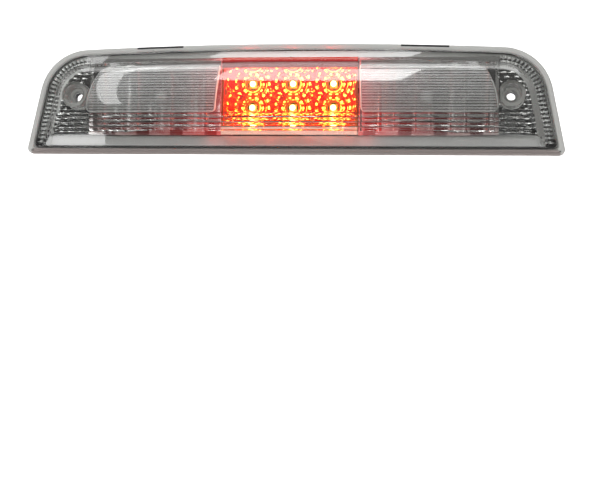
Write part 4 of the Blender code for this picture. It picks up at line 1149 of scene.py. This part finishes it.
def make_stage():
    """A pale floor that curves up into a pale backdrop."""
    centre = (WALL_Y - SWEEP_RADIUS, FLOOR_Z + SWEEP_RADIUS)
    profile = [(FLOOR_FRONT, FLOOR_Z), *arc(centre, SWEEP_RADIUS, -math.pi / 2, 0.0, 12), (WALL_Y, WALL_HIGH)]
    points = [(x, y, z) for y, z in profile for x in (-STAGE_HALF_WIDTH, STAGE_HALF_WIDTH)]
    faces = grid_faces(len(profile), 2)
    material, tree, shader = new_material("stage_paper")
    paper = ((0.3, (0.93, 0.93, 0.93)), (0.7, (0.95, 0.95, 0.95)))
    add_ramp(tree, add_noise(tree, 3.0), paper, shader.inputs["Base Color"])
    set_inputs(shader, {"Roughness": 0.9, "Emission Color": (1, 1, 1, 1), "Emission Strength": 0.85})
    stage = new_object("stage_sweep", points, faces, material, 60.0)
    stage.visible_glossy = stage.visible_transmission = False


def make_world():
    """Soft room light: dim at eye level, brighter towards the ceiling and the table."""
    world = bpy.data.worlds.new("studio")
    bpy.context.scene.world = world
    world.use_nodes = True
    tree = world.node_tree
    place = tree.nodes.new("ShaderNodeTexCoord")
    split = tree.nodes.new("ShaderNodeSeparateXYZ")
    tree.links.new(place.outputs["Generated"], split.inputs["Vector"])
    height = tree.nodes.new("ShaderNodeMapRange")
    height.inputs["From Min"].default_value = -1.0
    tree.links.new(split.outputs["Z"], height.inputs["Value"])
    stops = [(at, tuple(tone * part for part in WARMTH)) for at, tone in ROOM_LIGHT]
    add_ramp(tree, height.outputs["Result"], stops, tree.nodes["Background"].inputs["Color"])


def add_glow_light(place, power):
    """A small hidden light that stands for the red light the LEDs scatter into the clear lens."""
    data = bpy.data.lights.new("led_glow", "POINT")
    data.energy = power
    data.color = GLOW_COLOUR
    data.shadow_soft_size = 2 * MM
    glow = bpy.data.objects.new("led_glow", data)
    glow.location = place
    bpy.context.scene.collection.objects.link(glow)
    glow.visible_camera = glow.visible_glossy = glow.visible_transmission = False


def make_lights():
    """The lights that the lens and the chrome mirror, and the hidden red ones round the LEDs."""
    add_light("top_softbox", (0.02, -0.02, 0.016), -10.2, 52.5, 1.2, (0.36, 0.27), 6.0)
    add_light("left_strip", (-0.133, -0.02, 0.01), -24.5, 42.0, 1.2, (0.04, 1.3), 3.4, 11.0)
    add_light("low_left", (-0.15, -0.02, -0.03), -72.1, -64.6, 1.0, (0.3, 0.3), 4.0, 108.0)
    add_light("left_side", (0, 0, 0), -62.0, 20.0, 1.3, (0.5, 1.0), 1.0)
    add_light("right_side", (0, 0, 0), 62.0, 20.0, 1.3, (0.5, 1.0), 0.5)
    add_light("overhead", (0, 0, 0), 10.0, 75.0, 1.6, (1.8, 0.8), 2.5)
    add_light("table_bounce", (0, 0, 0), 20.0, -72.0, 1.2, (1.4, 0.5), 1.3).visible_glossy = False
    for x in (-LED_PITCH, 0.0, LED_PITCH):
        add_glow_light((x, -13 * MM, 6 * MM), 0.05)
        add_glow_light((x, -13 * MM, FLANGE_HIGH + 2.5 * MM), 0.003)
    for x in np.linspace(-56 * MM, 56 * MM, 9):
        add_glow_light((x, -11 * MM, FLANGE_LOW - 3.0 * MM), 0.00045)


def main():
    make_lens()
    make_shade_ring()
    make_led_reflector()
    make_led_domes()
    for side, label in ((-1, "left"), (1, "right")):
        make_cargo_optic(side, label)
        make_cargo_reflector(side, label)
        make_end_trim(side, label)
        make_trim_teeth(side, label)
    make_back_ribs()
    paint_nodes()
    make_stage()
    make_world()
    make_lights()
    make_camera()
    bpy.context.scene.view_settings.view_transform = "Standard"


main()
